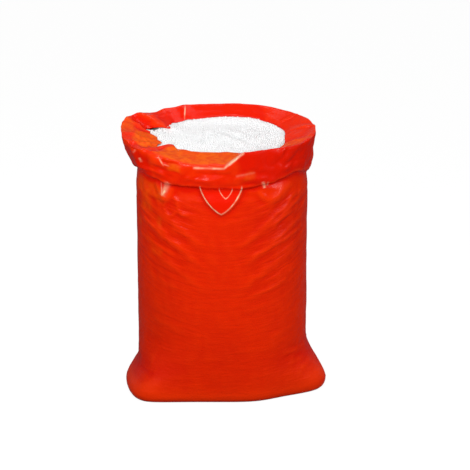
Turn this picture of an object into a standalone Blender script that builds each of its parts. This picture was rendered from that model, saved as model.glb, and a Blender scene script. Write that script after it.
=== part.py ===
"""Open sack of polystyrene beads, in metres, +Z up, standing on its welded bottom end.

The sack is one piece of film: a tube welded shut along its bottom and filled nearly to the top.
The weld lies under the bag from left to right, so the tube's two bottom corners stick out there.
Above the beads the film buckles into a roll round a collar, flares out and is turned in over the
beads, which leaves an open mouth. The front of the bag faces -Y.

A column is a line up the film from the weld to the free edge, at one bearing. Bearings are in
degrees round the bag: the right side is 0, the back 90, the left side 180 and the front 270.
"""

import math

import bmesh
import bpy
from mathutils import Vector
from mathutils.bvhtree import BVHTree

# The film.
FILM_THICKNESS = 0.00015

# The filled body, a rounded oval column that narrows a little from front to back at its top.
BODY_WIDTH = 0.504
BODY_DEPTH = 0.374
BODY_SQUARENESS = 2.4
SHOULDER_HEIGHT = 0.640
SHOULDER_SLIMMING = 0.045

# The foot: a flat base with a rounded edge. The sack has slumped, so its squareness differs round
# the foot: each station is a bearing and the squareness there.
FOOT_INSET = 0.016
FOOT_HEIGHT = 0.026
FOOT_FADE_HEIGHT = 0.200
FOOT_STATIONS = ((0, 1.9), (45, 2.2), (90, 2.4), (180, 2.4), (225, 3.4), (270, 2.2), (315, 1.6))

# The tube's two bottom corners, which stick out left and right above the base.
LEFT_CORNER_REACH = 0.038
RIGHT_CORNER_REACH = 0.061
LEFT_CORNER_HEIGHT = 0.092
RIGHT_CORNER_HEIGHT = 0.138
CORNER_FORWARD = 0.042
WELD_RIDGE = 0.004
WELD_RIDGE_HALF_ANGLE = 3.0
WELD_SHARE = 0.96

# The collar above the shoulder: crease, roll, crest, and the free end that is turned in.
CREASE_RISE = 0.036
CREASE_DEPTH = 0.008
ROLL_LIP = 0.018
ROLL_BULGE = 0.013
COLLAR_RISE = 0.175
FLARE = 0.046
TUCK_LENGTH = 0.110
EDGE_LIFT = 0.020

# The profile between crease and crest: the lip is where the roll stands out most, the neck lies
# halfway up the flare. Each takes a part of the roll's bulge, of the flare and of the rise.
LIP_FLARE = 0.10
NECK_BULGE = 0.80
NECK_FLARE = 0.60
NECK_RISE = 0.60
CREST_BULGE = 0.30

# The beads: the heap in the mouth and the single beads that lie on it.
HEAP_BELOW_CREST = 0.053
HEAP_RISE = 0.012
HEAP_SLOPE = 0.055
HEAP_LUMPS = 0.0022
HEAP_LUMP_SPREAD = 0.50
HEAP_LUMP_FADE = 0.15
HEAP_LUMP_WAVES = (61.0, 73.0, 97.0)
BRIM_INSET = 0.006
FILL_CLEARANCE = 0.0005
BEAD_DIAMETER = 0.0055
BEAD_GAP = 0.0003
LOOSE_BEADS = 24
LOOSE_BEAD_SPREAD = 0.42

# How finely the surfaces are cut. The film's columns crowd together in the middle of the front,
# where its largest sag hangs, and of the back. The beads' mass has every second column.
COLUMNS = 88
CROWDING = 0.5
CROWDED_HALF_WIDTH = 0.085
BASE_ROWS = 2
HEAP_RINGS = 6
FILL_COLUMN_STEP = 2

# Rows up the foot, as parts of FOOT_HEIGHT, then as parts of the way to RIGHT_CORNER_HEIGHT.
EDGE_ROWS = (0.0, 0.22, 1.0)
CORNER_ROWS = (0.25, 0.5, 0.75, 1.0)

# Rows up the wall, as parts of SHOULDER_HEIGHT. The beads' mass skips the film's closest rows.
WALL_ROWS = (0.32, 0.47, 0.60, 0.68, 0.745, 0.795, 0.84, 0.88, 0.915, 0.95, 0.975, 1.0)
FILL_WALL_ROWS = (0.32, 0.68, 1.0)

# Rows in each stretch of the collar: up to the crease, the roll, the crest, then in to the edge.
COLLAR_ROW_COUNTS = (2, 1, 2, 2, 2, 2)

# The collar at stations round the bag: bearing, then parts of CREASE_RISE, ROLL_BULGE, FLARE,
# COLLAR_RISE, TUCK_LENGTH and EDGE_LIFT.
COLLAR_STATIONS = (
    (0, 1.0, 0.50, 0.45, 0.930, 0.80, 0.20),
    (35, 1.3, 0.40, 0.30, 0.950, 0.60, 0.20),
    (80, 1.3, 0.30, 0.10, 1.015, 0.30, 0.50),
    (105, 1.3, 0.30, 0.20, 1.000, 0.34, 0.35),
    (124, 1.3, 0.40, 0.30, 0.965, 0.42, 0.20),
    (134, 1.3, 0.40, 0.35, 0.930, 0.66, 0.25),
    (145, 1.3, 0.40, 0.45, 0.960, 0.96, 0.30),
    (157, 1.3, 0.40, 0.80, 0.975, 0.42, 0.30),
    (166, 1.3, 0.45, 0.90, 0.980, 0.55, 0.25),
    (178, 1.3, 0.50, 0.94, 0.930, 0.95, 0.15),
    (190, 1.4, 0.60, 0.86, 0.900, 1.04, 0.15),
    (203, 1.6, 0.80, 0.70, 0.850, 0.78, 0.15),
    (221, 1.4, 0.90, 0.35, 0.790, 0.96, 0.40),
    (237, 1.1, 0.85, 0.20, 0.750, 0.80, 0.20),
    (255, 1.0, 0.90, 0.20, 0.680, 0.78, 0.15),
    (271, 1.0, 0.95, 0.20, 0.665, 0.78, 0.15),
    (282, 1.0, 0.90, 0.15, 0.905, 0.66, 0.15),
    (300, 1.3, 0.80, 0.10, 0.920, 0.60, 0.15),
    (322, 1.7, 0.60, 0.20, 0.900, 0.70, 0.15),
)
CREASE_COLUMN, ROLL_COLUMN, FLARE_COLUMN, RISE_COLUMN, TUCK_COLUMN, LIFT_COLUMN = range(1, 7)

# Pleats gathered in the collar, as (bearing, how high each one stands).
PLEATS = ((112, 0.003), (128, 0.004), (150, 0.005), (164, 0.004), (184, 0.004), (198, 0.005), (214, 0.004))
PLEAT_HALF_ANGLE = 3.5

# Sags of slack film that hang from the roll in front, as (x, half width, drop, bulge). Each has
# the outline of a V with a rounded tip: a pointedness of 1 is a sharp V and 2 is half an ellipse.
SAGS = (
    (0.001, 0.064, 0.078, 0.013),
    (-0.163, 0.034, 0.058, 0.010),
    (0.121, 0.028, 0.040, 0.008),
    (0.150, 0.062, 0.074, 0.006),
)
SAG_EDGE = 0.20
SAG_POINTEDNESS = 1.35

# Drapery of the wall: swags that hang between the shoulders, as (front or back, lowest point as a
# part of the shoulder height, how far the swag stands out).
SWAGS = (
    (-1, 0.87, 0.0060),
    (-1, 0.77, 0.0060),
    (-1, 0.66, 0.0045),
    (1, 0.90, 0.0055),
    (1, 0.78, 0.0045),
)
SWAG_STEEPNESS = 0.70
SWAG_HALF_WIDTH = 0.016

# Where the swags show, as parts of the way from the middle out to the side of the bag.
SWAG_START = 0.12
SWAG_FULL = 0.42
SWAG_FADE = 0.75

FILM_COLOUR = (0.83, 0.045, 0.006, 1.0)
FILM_ROUGHNESS = 0.28
BEAD_COLOUR = (0.86, 0.87, 0.87, 1.0)
BEAD_ROUGHNESS = 0.65


def between(low, high, share):
    """The value that lies this share of the way from low to high."""
    return low + (high - low) * share


def smooth(share):
    """A share from 0 to 1 with a soft start and end."""
    share = min(1.0, max(0.0, share))
    return share * share * (3.0 - 2.0 * share)


def hump(distance, half_width):
    """A bell curve: 1 on the line, nearly 0 two half-widths away."""
    return math.exp(-((distance / half_width) ** 2))


def spline(before, start, end, after, share):
    """A point on the smooth curve through four control values, between the middle two."""
    return 0.5 * (
        2.0 * start
        + (end - before) * share
        + (2.0 * before - 5.0 * start + 4.0 * end - after) * share**2
        + (3.0 * (start - end) + after - before) * share**3
    )


def station_value(stations, column, bearing):
    """A column of a table of stations round the bag, at any bearing."""
    bearing %= 360.0
    count = len(stations)
    index = max(i for i in range(count) if stations[i][0] <= bearing)
    here = stations[index]
    following = stations[(index + 1) % count]
    span = (following[0] - here[0]) % 360.0
    return between(here[column], following[column], smooth((bearing - here[0]) / span))


def collar_value(column, bearing):
    """A column of the collar's table at any bearing."""
    return station_value(COLLAR_STATIONS, column, bearing)


def on_oval(bearing, half_width, half_depth, squareness):
    """A point of a rounded oval: squareness 2 is an ellipse, more is boxier."""
    angle = math.radians(bearing)
    power = 2.0 / squareness
    across = math.copysign(abs(math.cos(angle)) ** power, math.cos(angle))
    along = math.copysign(abs(math.sin(angle)) ** power, math.sin(angle))
    return Vector((across * half_width, along * half_depth, 0.0))


def corner_reach(bearing, height):
    """How far the wall reaches out towards the nearer bottom corner of the tube."""
    on_left = 90.0 < bearing % 360.0 < 270.0
    reach = LEFT_CORNER_REACH if on_left else RIGHT_CORNER_REACH
    top = LEFT_CORNER_HEIGHT if on_left else RIGHT_CORNER_HEIGHT
    share = min(1.0, max(0.0, (top - height) / (top - FOOT_HEIGHT)))
    return reach * between(share, smooth(share), 0.5)


def foot_inset(height):
    """How far the rounded edge of the base lies inside the wall."""
    share = min(1.0, height / FOOT_HEIGHT)
    return FOOT_INSET * (1.0 - math.sqrt(1.0 - (1.0 - share) ** 2))


def wall_point(bearing, height):
    """A point of the filled wall, without its drapery."""
    foot = 1.0 - smooth(height / FOOT_FADE_HEIGHT)
    squareness = between(BODY_SQUARENESS, station_value(FOOT_STATIONS, 1, bearing), foot)
    slimming = SHOULDER_SLIMMING * max(0.0, 2.0 * height / SHOULDER_HEIGHT - 1.0) ** 2
    inset = foot_inset(height)
    half_width = BODY_WIDTH / 2 + corner_reach(bearing, height) - inset
    half_depth = BODY_DEPTH / 2 * (1.0 - slimming) - inset
    point = on_oval(bearing, half_width, half_depth, squareness)
    point.y -= CORNER_FORWARD * foot * (point.x / half_width) ** 2
    point.z = height
    return point


def outward_at(bearing):
    """The level direction that points away from the bag's axis at the shoulder."""
    along = wall_point(bearing + 1.0, SHOULDER_HEIGHT) - wall_point(bearing - 1.0, SHOULDER_HEIGHT)
    return Vector((along.y, -along.x, 0.0)).normalized()


def bearings():
    """Bearings of the columns, alike in front and behind, a little closer in the middle."""
    steps = 10 * COLUMNS
    marks = [180.0 * i / steps for i in range(steps + 1)]
    points = [wall_point(mark, SHOULDER_HEIGHT) for mark in marks]
    lengths = [0.0]
    for start, end in zip(points, points[1:]):
        crowding = CROWDING * smooth(2.0 * (1.0 - abs(end.x) / CROWDED_HALF_WIDTH))
        lengths.append(lengths[-1] + (end - start).length * (1.0 + crowding))
    back = []
    for i in range(COLUMNS // 2 + 1):
        target = lengths[-1] * 2 * i / COLUMNS
        nearest = min(range(steps + 1), key=lambda mark: abs(lengths[mark] - target))
        back.append(marks[nearest])
    front = [360.0 - bearing for bearing in reversed(back[1:-1])]
    return back + front


def heap_height(x, y):
    """The height of the beads in the mouth: a low mound that slopes up towards the back."""
    radius = min(1.0, math.hypot(2.0 * x / BODY_WIDTH, 2.0 * y / BODY_DEPTH))
    middle = SHOULDER_HEIGHT + COLLAR_RISE - HEAP_BELOW_CREST
    return middle + HEAP_SLOPE * y + HEAP_RISE * (1.0 - radius**2)


def heap_lumps(x, y):
    """Shallow dips and bumps of the loose beads, dying out under the turned-in film."""
    radius = math.hypot(2.0 * x / BODY_WIDTH, 2.0 * y / BODY_DEPTH)
    across, along, slanting = HEAP_LUMP_WAVES
    ripple = math.sin(across * x + 1.7) * math.cos(along * y - 0.6)
    ripple += 0.6 * math.sin(slanting * (x + y))
    return HEAP_LUMPS * ripple * smooth((HEAP_LUMP_SPREAD - radius) / HEAP_LUMP_FADE)


def sags(point):
    """How far the slack film under the roll bulges: each sag is a V with a rounded tip."""
    top = SHOULDER_HEIGHT + CREASE_RISE
    relief = 0.0
    for x, half_width, drop, bulge in SAGS:
        sideways = abs(point.x - x) / half_width
        below = max(0.0, top - point.z) / drop
        outline = (sideways**SAG_POINTEDNESS + below**SAG_POINTEDNESS) ** (1.0 / SAG_POINTEDNESS)
        relief = max(relief, bulge * smooth((1.0 - outline) / SAG_EDGE))
    return relief


def drapery(point):
    """How far the film of the wall stands off the beads."""
    side = 1 if point.y > 0 else -1
    across = abs(point.x) / (BODY_WIDTH / 2)
    start = smooth((across - SWAG_START) / (SWAG_FULL - SWAG_START))
    window = start * smooth((1.0 - across) / (1.0 - SWAG_FADE))
    relief = 0.0
    for swag_side, lowest, crest in SWAGS:
        line = lowest * SHOULDER_HEIGHT + SWAG_STEEPNESS * (abs(point.x) - BODY_WIDTH / 4)
        if swag_side == side:
            relief += crest * window * hump(point.z - line, SWAG_HALF_WIDTH)
    return relief + (sags(point) if side < 0 else 0.0)


def weld_ridge(bearing, height):
    """The end of the bottom weld, a thin ridge that runs up each corner."""
    off_corner = min(bearing % 180.0, 180.0 - bearing % 180.0)
    fade = smooth((LEFT_CORNER_HEIGHT - height) / LEFT_CORNER_HEIGHT)
    return WELD_RIDGE * fade * hump(off_corner, WELD_RIDGE_HALF_ANGLE)


def base_rows(bearing):
    """Points of the flat base, from the weld that runs left to right out to the foot."""
    edge = wall_point(bearing, 0.0)
    tip = wall_point(0.0 if edge.x > 0 else 180.0, 0.0)
    share = WELD_SHARE * abs(on_oval(bearing, 1.0, 1.0, BODY_SQUARENESS).x)
    weld = Vector((share * tip.x, share**2 * tip.y, 0.0))
    return [weld.lerp(edge, i / BASE_ROWS) for i in range(BASE_ROWS)]


def foot_heights():
    """Heights of the rows round the foot and up the two corners."""
    edge = [share * FOOT_HEIGHT for share in EDGE_ROWS]
    return edge + [between(FOOT_HEIGHT, RIGHT_CORNER_HEIGHT, share) for share in CORNER_ROWS]


def foot_rows(bearing):
    """Points up the foot and the corners."""
    return [wall_point(bearing, height) for height in foot_heights()]


def collar_controls(bearing):
    """(outward, height) of the collar's control points, from below the shoulder to past its edge."""
    bulge = ROLL_BULGE * collar_value(ROLL_COLUMN, bearing)
    flare = FLARE * collar_value(FLARE_COLUMN, bearing)
    crest = COLLAR_RISE * collar_value(RISE_COLUMN, bearing)
    tuck = TUCK_LENGTH * collar_value(TUCK_COLUMN, bearing)
    shoulder = wall_point(bearing, SHOULDER_HEIGHT)
    edge = shoulder + outward_at(bearing) * (flare - tuck)
    lift = EDGE_LIFT * collar_value(LIFT_COLUMN, bearing)
    edge_height = heap_height(edge.x, edge.y) + lift - SHOULDER_HEIGHT
    pinch = CREASE_DEPTH * collar_value(ROLL_COLUMN, bearing)
    crease = CREASE_RISE * collar_value(CREASE_COLUMN, bearing)
    return (
        (0.0, -crease),
        (0.0, 0.0),
        (-pinch, crease),
        (bulge + LIP_FLARE * flare, crease + ROLL_LIP),
        (NECK_BULGE * bulge + NECK_FLARE * flare, between(crease, crest, NECK_RISE)),
        (CREST_BULGE * bulge + flare, crest),
        (flare - 0.5 * tuck, between(crest, edge_height, 0.5)),
        (flare - tuck, edge_height),
        (flare - 1.4 * tuck, edge_height),
    )


def collar_rows(bearing, spans):
    """Points from just above the shoulder, over the roll and the crest, towards the free edge."""
    controls = collar_controls(bearing)
    shoulder = wall_point(bearing, SHOULDER_HEIGHT)
    outward = outward_at(bearing)
    column = []
    for span, steps in enumerate(spans):
        corners = controls[span : span + 4]
        for step in range(1, steps + 1):
            out, rise = (spline(*values, step / steps) for values in zip(*corners))
            point = shoulder + outward * out
            point.z = SHOULDER_HEIGHT + rise
            column.append(point)
    return column


def gathered(column, bearing):
    """The same points of the collar with its pleats and the tops of the sags."""
    outward = outward_at(bearing)
    pleat = sum(height * hump(bearing - at, PLEAT_HALF_ANGLE) for at, height in PLEATS)
    shaped = []
    for number, point in enumerate(column):
        share = number / (len(column) - 1)
        new = point + Vector((0.0, 0.0, pleat * smooth(2.5 * share - 0.6)))
        if point.y < 0:
            new += outward * sags(point) * (1.0 - smooth(5.0 * share))
        shaped.append(new)
    return shaped


def film_column(bearing):
    """Points of the film, from the weld under the bag up to its free edge."""
    outward = outward_at(bearing)
    foot = [point + outward * weld_ridge(bearing, point.z) for point in foot_rows(bearing)]
    wall = [wall_point(bearing, share * SHOULDER_HEIGHT) for share in WALL_ROWS]
    draped = [point + outward * drapery(point) for point in wall]
    collar = gathered(collar_rows(bearing, COLLAR_ROW_COUNTS), bearing)
    return base_rows(bearing) + foot + draped + collar


def fill_column(bearing):
    """Points of the beads' mass, from the weld up the inside of the film to its brim."""
    wall = [wall_point(bearing, share * SHOULDER_HEIGHT) for share in FILL_WALL_ROWS]
    to_crease = collar_rows(bearing, COLLAR_ROW_COUNTS[:1])
    controls = collar_controls(bearing)
    brim = wall_point(bearing, SHOULDER_HEIGHT)
    brim += outward_at(bearing) * (controls[2][0] - BRIM_INSET)
    lowest = SHOULDER_HEIGHT + controls[5][1] - BRIM_INSET
    brim.z = min(lowest, heap_height(brim.x, brim.y))
    return base_rows(bearing) + foot_rows(bearing) + wall + to_crease + [brim]


def grid_mesh(name, columns):
    """A sheet through columns of points, closed all round, its faces pointing outwards."""
    shape = bmesh.new()
    rows = [[shape.verts.new(point) for point in column] for column in columns]
    for left, right in zip(rows, rows[1:] + rows[:1]):
        for low in range(len(left) - 1):
            shape.faces.new((left[low], right[low], right[low + 1], left[low + 1]))
    bmesh.ops.remove_doubles(shape, verts=shape.verts, dist=1e-6)
    mesh = bpy.data.meshes.new(name)
    shape.to_mesh(mesh)
    shape.free()
    return mesh


def shrunk(columns, distance):
    """The same columns moved inwards, square to the surface that they make."""
    moved = []
    count = len(columns)
    for i, column in enumerate(columns):
        after, before = columns[(i + 1) % count], columns[i - 1]
        new = [column[0] + Vector((0.0, 0.0, distance))]
        for k in range(1, len(column)):
            up = column[min(k + 1, len(column) - 1)] - column[k - 1]
            normal = (after[k] - before[k]).cross(up).normalized()
            new.append(column[k] - normal * distance)
        moved.append(new)
    return moved


def heap_column(brim):
    """Points of the heap from just inside one point of its brim to the middle."""
    column = []
    for ring in range(1, HEAP_RINGS + 1):
        share = 1.0 - ring / HEAP_RINGS
        x, y = brim.x * share, brim.y * share
        height = heap_height(x, y) + heap_lumps(x, y)
        settled = between(brim.z, height, smooth((1.0 - share) * 3.0))
        column.append(Vector((x, y, settled)))
    return column


def material(name, colour, roughness):
    """A plain Principled material."""
    made = bpy.data.materials.new(name)
    made.use_nodes = True
    shader = made.node_tree.nodes["Principled BSDF"]
    shader.inputs["Base Color"].default_value = colour
    shader.inputs["Roughness"].default_value = roughness
    shader.inputs["Metallic"].default_value = 0.0
    return made


def add_object(name, mesh, finish, collection):
    """A named object in the bag's collection."""
    obj = bpy.data.objects.new(name, mesh)
    obj.data.materials.append(finish)
    obj.data.shade_smooth()
    collection.objects.link(obj)
    return obj


def make_film_bag(finish, collection):
    """The sack: one open surface, thickened inwards to the film's real wall."""
    columns = [film_column(bearing) for bearing in bearings()]
    bag = add_object("film_bag", grid_mesh("film_bag", columns), finish, collection)
    wall = bag.modifiers.new("film wall", "SOLIDIFY")
    wall.thickness = FILM_THICKNESS
    wall.offset = -1.0
    return bag


def make_bead_fill(finish, collection):
    """The beads' mass: it fills the film to the brim and ends in the heap."""
    sides = [fill_column(bearing) for bearing in bearings()[::FILL_COLUMN_STEP]]
    sides = shrunk(sides, FILM_THICKNESS + FILL_CLEARANCE)
    columns = [side + heap_column(side[-1]) for side in sides]
    return add_object("bead_fill", grid_mesh("bead_fill", columns), finish, collection)


def loose_bead_places():
    """Places spread evenly over the mouth, on a spiral that turns by the golden angle."""
    golden_angle = math.pi * (3.0 - math.sqrt(5.0))
    for number in range(LOOSE_BEADS):
        radius = LOOSE_BEAD_SPREAD * math.sqrt((number + 0.5) / LOOSE_BEADS)
        angle = number * golden_angle
        yield radius * BODY_WIDTH / 2 * math.cos(angle), radius * BODY_DEPTH / 2 * math.sin(angle)


def make_loose_beads(fill, finish, collection):
    """Single beads, each set down on the heap where it lies."""
    heap = bmesh.new()
    heap.from_mesh(fill.data)
    surface = BVHTree.FromBMesh(heap)
    heap.free()
    ball = bmesh.new()
    bmesh.ops.create_icosphere(ball, subdivisions=2, radius=BEAD_DIAMETER / 2)
    mesh = bpy.data.meshes.new("loose_bead")
    ball.to_mesh(mesh)
    ball.free()
    above = 2.0 * (SHOULDER_HEIGHT + COLLAR_RISE)
    for number, (x, y) in enumerate(loose_bead_places(), start=1):
        resting = surface.ray_cast(Vector((x, y, above)), Vector((0.0, 0.0, -1.0)))[0]
        bead = add_object(f"loose_bead_{number:02d}", mesh, finish, collection)
        bead.location = resting + Vector((0.0, 0.0, BEAD_DIAMETER / 2 + BEAD_GAP))


def main():
    for obj in list(bpy.data.objects):
        bpy.data.objects.remove(obj)
    collection = bpy.data.collections.new("bag_of_polystyrene_beads")
    bpy.context.scene.collection.children.link(collection)
    film = material("orange_film", FILM_COLOUR, FILM_ROUGHNESS)
    beads = material("white_beads", BEAD_COLOUR, BEAD_ROUGHNESS)
    make_film_bag(film, collection)
    fill = make_bead_fill(beads, collection)
    make_loose_beads(fill, beads, collection)


main()
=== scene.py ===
# %% [markdown]
# # An open sack of polystyrene beads
#
# The real thing is a tube of thin orange-red polyethylene film, welded shut at the bottom, filled
# to the brim with white foam beads and left open. Three things make its looks. The film is slack
# and glossy, so it is all folds and highlights. It takes the print of the beads where they press
# on it. And its free end is turned in over the beads, where light gets behind a single layer of
# film and turns it a lighter orange.
#
# This script builds the film and the beads as fine meshes over a frame of plain solids.

# %% Load the frame
import math

import bmesh
import bpy
import numpy as np
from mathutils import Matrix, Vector, noise
from mathutils.bvhtree import BVHTree


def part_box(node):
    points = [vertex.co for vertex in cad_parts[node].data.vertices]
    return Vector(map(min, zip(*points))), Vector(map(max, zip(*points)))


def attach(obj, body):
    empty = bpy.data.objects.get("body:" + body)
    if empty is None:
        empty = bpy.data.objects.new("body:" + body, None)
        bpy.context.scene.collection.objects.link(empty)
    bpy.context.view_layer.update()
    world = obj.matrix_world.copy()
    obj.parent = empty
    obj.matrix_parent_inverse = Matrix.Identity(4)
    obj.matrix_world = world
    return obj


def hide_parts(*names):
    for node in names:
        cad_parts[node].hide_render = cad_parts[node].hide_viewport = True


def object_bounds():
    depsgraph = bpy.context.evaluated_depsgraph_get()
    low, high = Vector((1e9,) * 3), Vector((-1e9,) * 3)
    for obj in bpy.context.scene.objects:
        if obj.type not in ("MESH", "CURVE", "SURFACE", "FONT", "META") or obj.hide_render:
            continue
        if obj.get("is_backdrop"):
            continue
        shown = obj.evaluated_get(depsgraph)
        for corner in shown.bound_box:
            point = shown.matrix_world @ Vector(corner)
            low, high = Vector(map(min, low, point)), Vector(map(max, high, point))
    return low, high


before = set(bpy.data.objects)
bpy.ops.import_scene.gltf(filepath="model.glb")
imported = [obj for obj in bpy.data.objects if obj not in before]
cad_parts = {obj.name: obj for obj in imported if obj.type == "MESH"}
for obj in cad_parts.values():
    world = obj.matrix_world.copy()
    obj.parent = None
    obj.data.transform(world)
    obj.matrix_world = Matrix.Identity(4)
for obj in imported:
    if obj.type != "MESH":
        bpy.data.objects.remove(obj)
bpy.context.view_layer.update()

# %% [markdown]
# ## Sizes
#
# The film's form follows rules that the solid sack follows too: a rounded oval wall, a slumped
# foot with two corners, and a collar whose profile changes round the bag. The values here repeat
# those of the solid, in metres, and everything finer is added to them further down.

# %% Sizes of the sack
BODY_WIDTH = 0.504
BODY_DEPTH = 0.374
BODY_SQUARENESS = 2.4
SHOULDER_HEIGHT = 0.640
SHOULDER_SLIMMING = 0.045

FOOT_INSET = 0.016
FOOT_HEIGHT = 0.026
FOOT_FADE_HEIGHT = 0.200
FOOT_STATIONS = ((0, 1.9), (45, 2.2), (90, 2.4), (180, 2.4), (225, 3.4), (270, 2.2), (315, 1.6))
LEFT_CORNER = (0.038, 0.092)
RIGHT_CORNER = (0.061, 0.138)
CORNER_FORWARD = 0.042
WELD_SHARE = 0.96

CREASE_RISE = 0.036
CREASE_DEPTH = 0.005
ROLL_LIP = 0.018
ROLL_BULGE = 0.013
COLLAR_RISE = 0.175
FLARE = 0.046
TUCK_LENGTH = 0.110
EDGE_LIFT = 0.020
# The profile's points take parts of the roll's bulge, of the flare and of the rise: at the lip,
# where the roll stands out most, at the neck halfway up the flare, and at the crest.
LIP_FLARE = 0.10
NECK_BULGE, NECK_FLARE, NECK_RISE = 0.80, 0.60, 0.60
CREST_BULGE = 0.30
# The last control point, past the free edge, lies this many times the tuck's length in.
TUCK_OVERRUN = 1.4

HEAP_BELOW_CREST = 0.053
HEAP_RISE = 0.012
HEAP_SLOPE = 0.055
HEAP_LUMPS = 0.0022
HEAP_LUMP_SPREAD = 0.50
HEAP_LUMP_FADE = 0.15
HEAP_LUMP_WAVES = (61.0, 73.0, 97.0)
BEAD_DIAMETER = 0.0055

# %% The collar at stations round the bag
# Bearing in degrees (right side 0, back 90, left side 180, front 270), then parts of these sizes.
COLLAR_SIZES = (CREASE_RISE, ROLL_BULGE, FLARE, COLLAR_RISE, TUCK_LENGTH, EDGE_LIFT)
ROLL_COLUMN = 2
COLLAR_STATIONS = np.array([
    (0, 1.0, 0.50, 0.45, 0.930, 0.80, 0.20),
    (35, 1.3, 0.40, 0.30, 0.950, 0.60, 0.20),
    (80, 1.3, 0.30, 0.10, 1.015, 0.30, 0.50),
    (105, 1.3, 0.30, 0.20, 1.000, 0.34, 0.35),
    (124, 1.3, 0.40, 0.30, 0.965, 0.42, 0.20),
    (134, 1.3, 0.40, 0.35, 0.930, 0.66, 0.25),
    (145, 1.3, 0.40, 0.45, 0.960, 0.96, 0.30),
    (157, 1.3, 0.40, 0.80, 0.975, 0.42, 0.30),
    (166, 1.3, 0.45, 0.90, 0.980, 0.69, 0.25),
    (178, 1.3, 0.50, 0.94, 0.930, 0.95, 0.15),
    (190, 1.4, 0.60, 0.86, 0.900, 1.04, 0.15),
    (203, 1.6, 0.80, 0.70, 0.850, 0.78, 0.15),
    (221, 1.4, 0.90, 0.35, 0.790, 0.96, 0.40),
    (237, 1.1, 0.85, 0.20, 0.750, 0.80, 0.20),
    (255, 1.0, 0.90, 0.20, 0.680, 0.78, 0.15),
    (271, 1.0, 0.95, 0.20, 0.665, 0.78, 0.15),
    (282, 1.0, 0.90, 0.15, 0.905, 0.66, 0.15),
    (300, 1.3, 0.80, 0.10, 0.920, 0.60, 0.15),
    (322, 1.7, 0.60, 0.20, 0.900, 0.70, 0.15),
])

# %% [markdown]
# ## The camera and the light
#
# The sack is seen from the front and a little above, through a long lens, so that its sides stay
# parallel. A soft key lamp stands near it, high on the left, and a broader fill lamp farther off
# on the right. A large lamp overhead lights the mouth, and a narrow strip in front draws bright
# lines on the folds with its reflection; the brightest lines on the hard creases are painted
# highlights in the film's colour.


# %% Objects in the scene
def add_object(name, data):
    """A new object at the origin with that data: a mesh, a camera or a lamp."""
    obj = bpy.data.objects.new(name, data)
    bpy.context.scene.collection.objects.link(obj)
    return obj


def point_along(obj, direction):
    """Turns a camera or a lamp so that it faces that way."""
    obj.rotation_euler = direction.to_track_quat("-Z", "Y").to_euler()


# %% Camera
CAMERA_ELEVATION = 22.0
CAMERA_DISTANCE = 8.0
CAMERA_REACH = 50.0
VIEW_WIDTH = 1.399
SENSOR_WIDTH = 36.0
CAMERA_AIM = Vector((0.0387, 0.0, 0.4674))


def add_camera():
    """A long lens that looks down at the sack's front."""
    camera = bpy.data.cameras.new("camera")
    camera.sensor_width = SENSOR_WIDTH
    camera.lens = SENSOR_WIDTH * CAMERA_DISTANCE / VIEW_WIDTH
    camera.clip_end = CAMERA_REACH
    obj = add_object("camera", camera)
    tilt = math.radians(CAMERA_ELEVATION)
    looking = Vector((0.0, math.cos(tilt), -math.sin(tilt)))
    obj.location = CAMERA_AIM - looking * CAMERA_DISTANCE
    point_along(obj, looking)
    bpy.context.scene.camera = obj


add_camera()
bpy.context.scene.view_settings.view_transform = "Standard"
print("camera", CAMERA_DISTANCE, "m away,", CAMERA_ELEVATION, "degrees up")

# %% Lamps
# For each: name, place, width and height, and power.
LAMPS = (
    ("key_lamp", (-0.6, -1.3, 1.2), (0.5, 0.5), 12.6),
    ("fill_lamp", (2.2, -1.8, 1.3), (0.5, 1.2), 28.0),
    ("top_lamp", (0.2, 0.3, 2.2), (1.0, 0.8), 9.4),
    ("strip_lamp", (0.3, -2.4, 1.9), (0.06, 1.0), 3.5),
)
LAMP_AIM = Vector((0.0, 0.0, 0.5))

for name, place, size, power in LAMPS:
    lamp = bpy.data.lights.new(name, "AREA")
    lamp.shape = "RECTANGLE"
    lamp.size, lamp.size_y = size
    lamp.energy = power
    lamp_object = add_object(name, lamp)
    lamp_object.location = place
    point_along(lamp_object, LAMP_AIM - Vector(place))
print(len(LAMPS), "lamps")

# %% [markdown]
# ## Nodes written as formulas
#
# The world, the floor and every finish are made of nodes, and a long chain of Math nodes is hard
# to read. So an output of a node is wrapped as a Value that can be added and multiplied like a
# number, and each such step makes one Math node. A finish then reads as the formula that it is.


# %% Values that come out of nodes
class Value:
    """An output of a node; each step of arithmetic on it makes a Math node."""

    def __init__(self, socket):
        self.socket = socket
        self.tree = socket.id_data

    def __add__(self, other):
        return math_node("ADD", self, other)

    def __sub__(self, other):
        return math_node("SUBTRACT", self, other)

    def __rsub__(self, other):
        return math_node("SUBTRACT", other, self)

    def __mul__(self, other):
        return math_node("MULTIPLY", self, other)

    def __truediv__(self, other):
        return math_node("DIVIDE", self, other)

    def __rtruediv__(self, other):
        return math_node("DIVIDE", other, self)

    def __pow__(self, other):
        return math_node("POWER", self, other)


def feed(socket, value):
    """Links a Value to an input, or gives the input a plain value."""
    if isinstance(value, Value):
        value.tree.links.new(value.socket, socket)
    else:
        socket.default_value = value


def math_node(operation, *operands):
    """A Math node on Values and plain numbers."""
    tree = next(value.tree for value in operands if isinstance(value, Value))
    node = add_node(tree, "ShaderNodeMath", operation=operation)
    for socket, value in zip(node.inputs, operands):
        feed(socket, value)
    return Value(node.outputs["Value"])


# %% Nodes set by name
def set_node(node, **values):
    """Sets inputs and properties by their names, with an underscore for a space."""
    for name, value in values.items():
        label = name.replace("_", " ")
        if label in node.inputs:
            feed(node.inputs[label], value)
        else:
            setattr(node, name, value)
    return node


def add_node(tree, kind, **values):
    """A new node with those inputs and properties."""
    return set_node(tree.nodes.new(kind), **values)


def output_of(tree, kind, output, **values):
    """One output of a new node."""
    return Value(add_node(tree, kind, **values).outputs[output])


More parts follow.
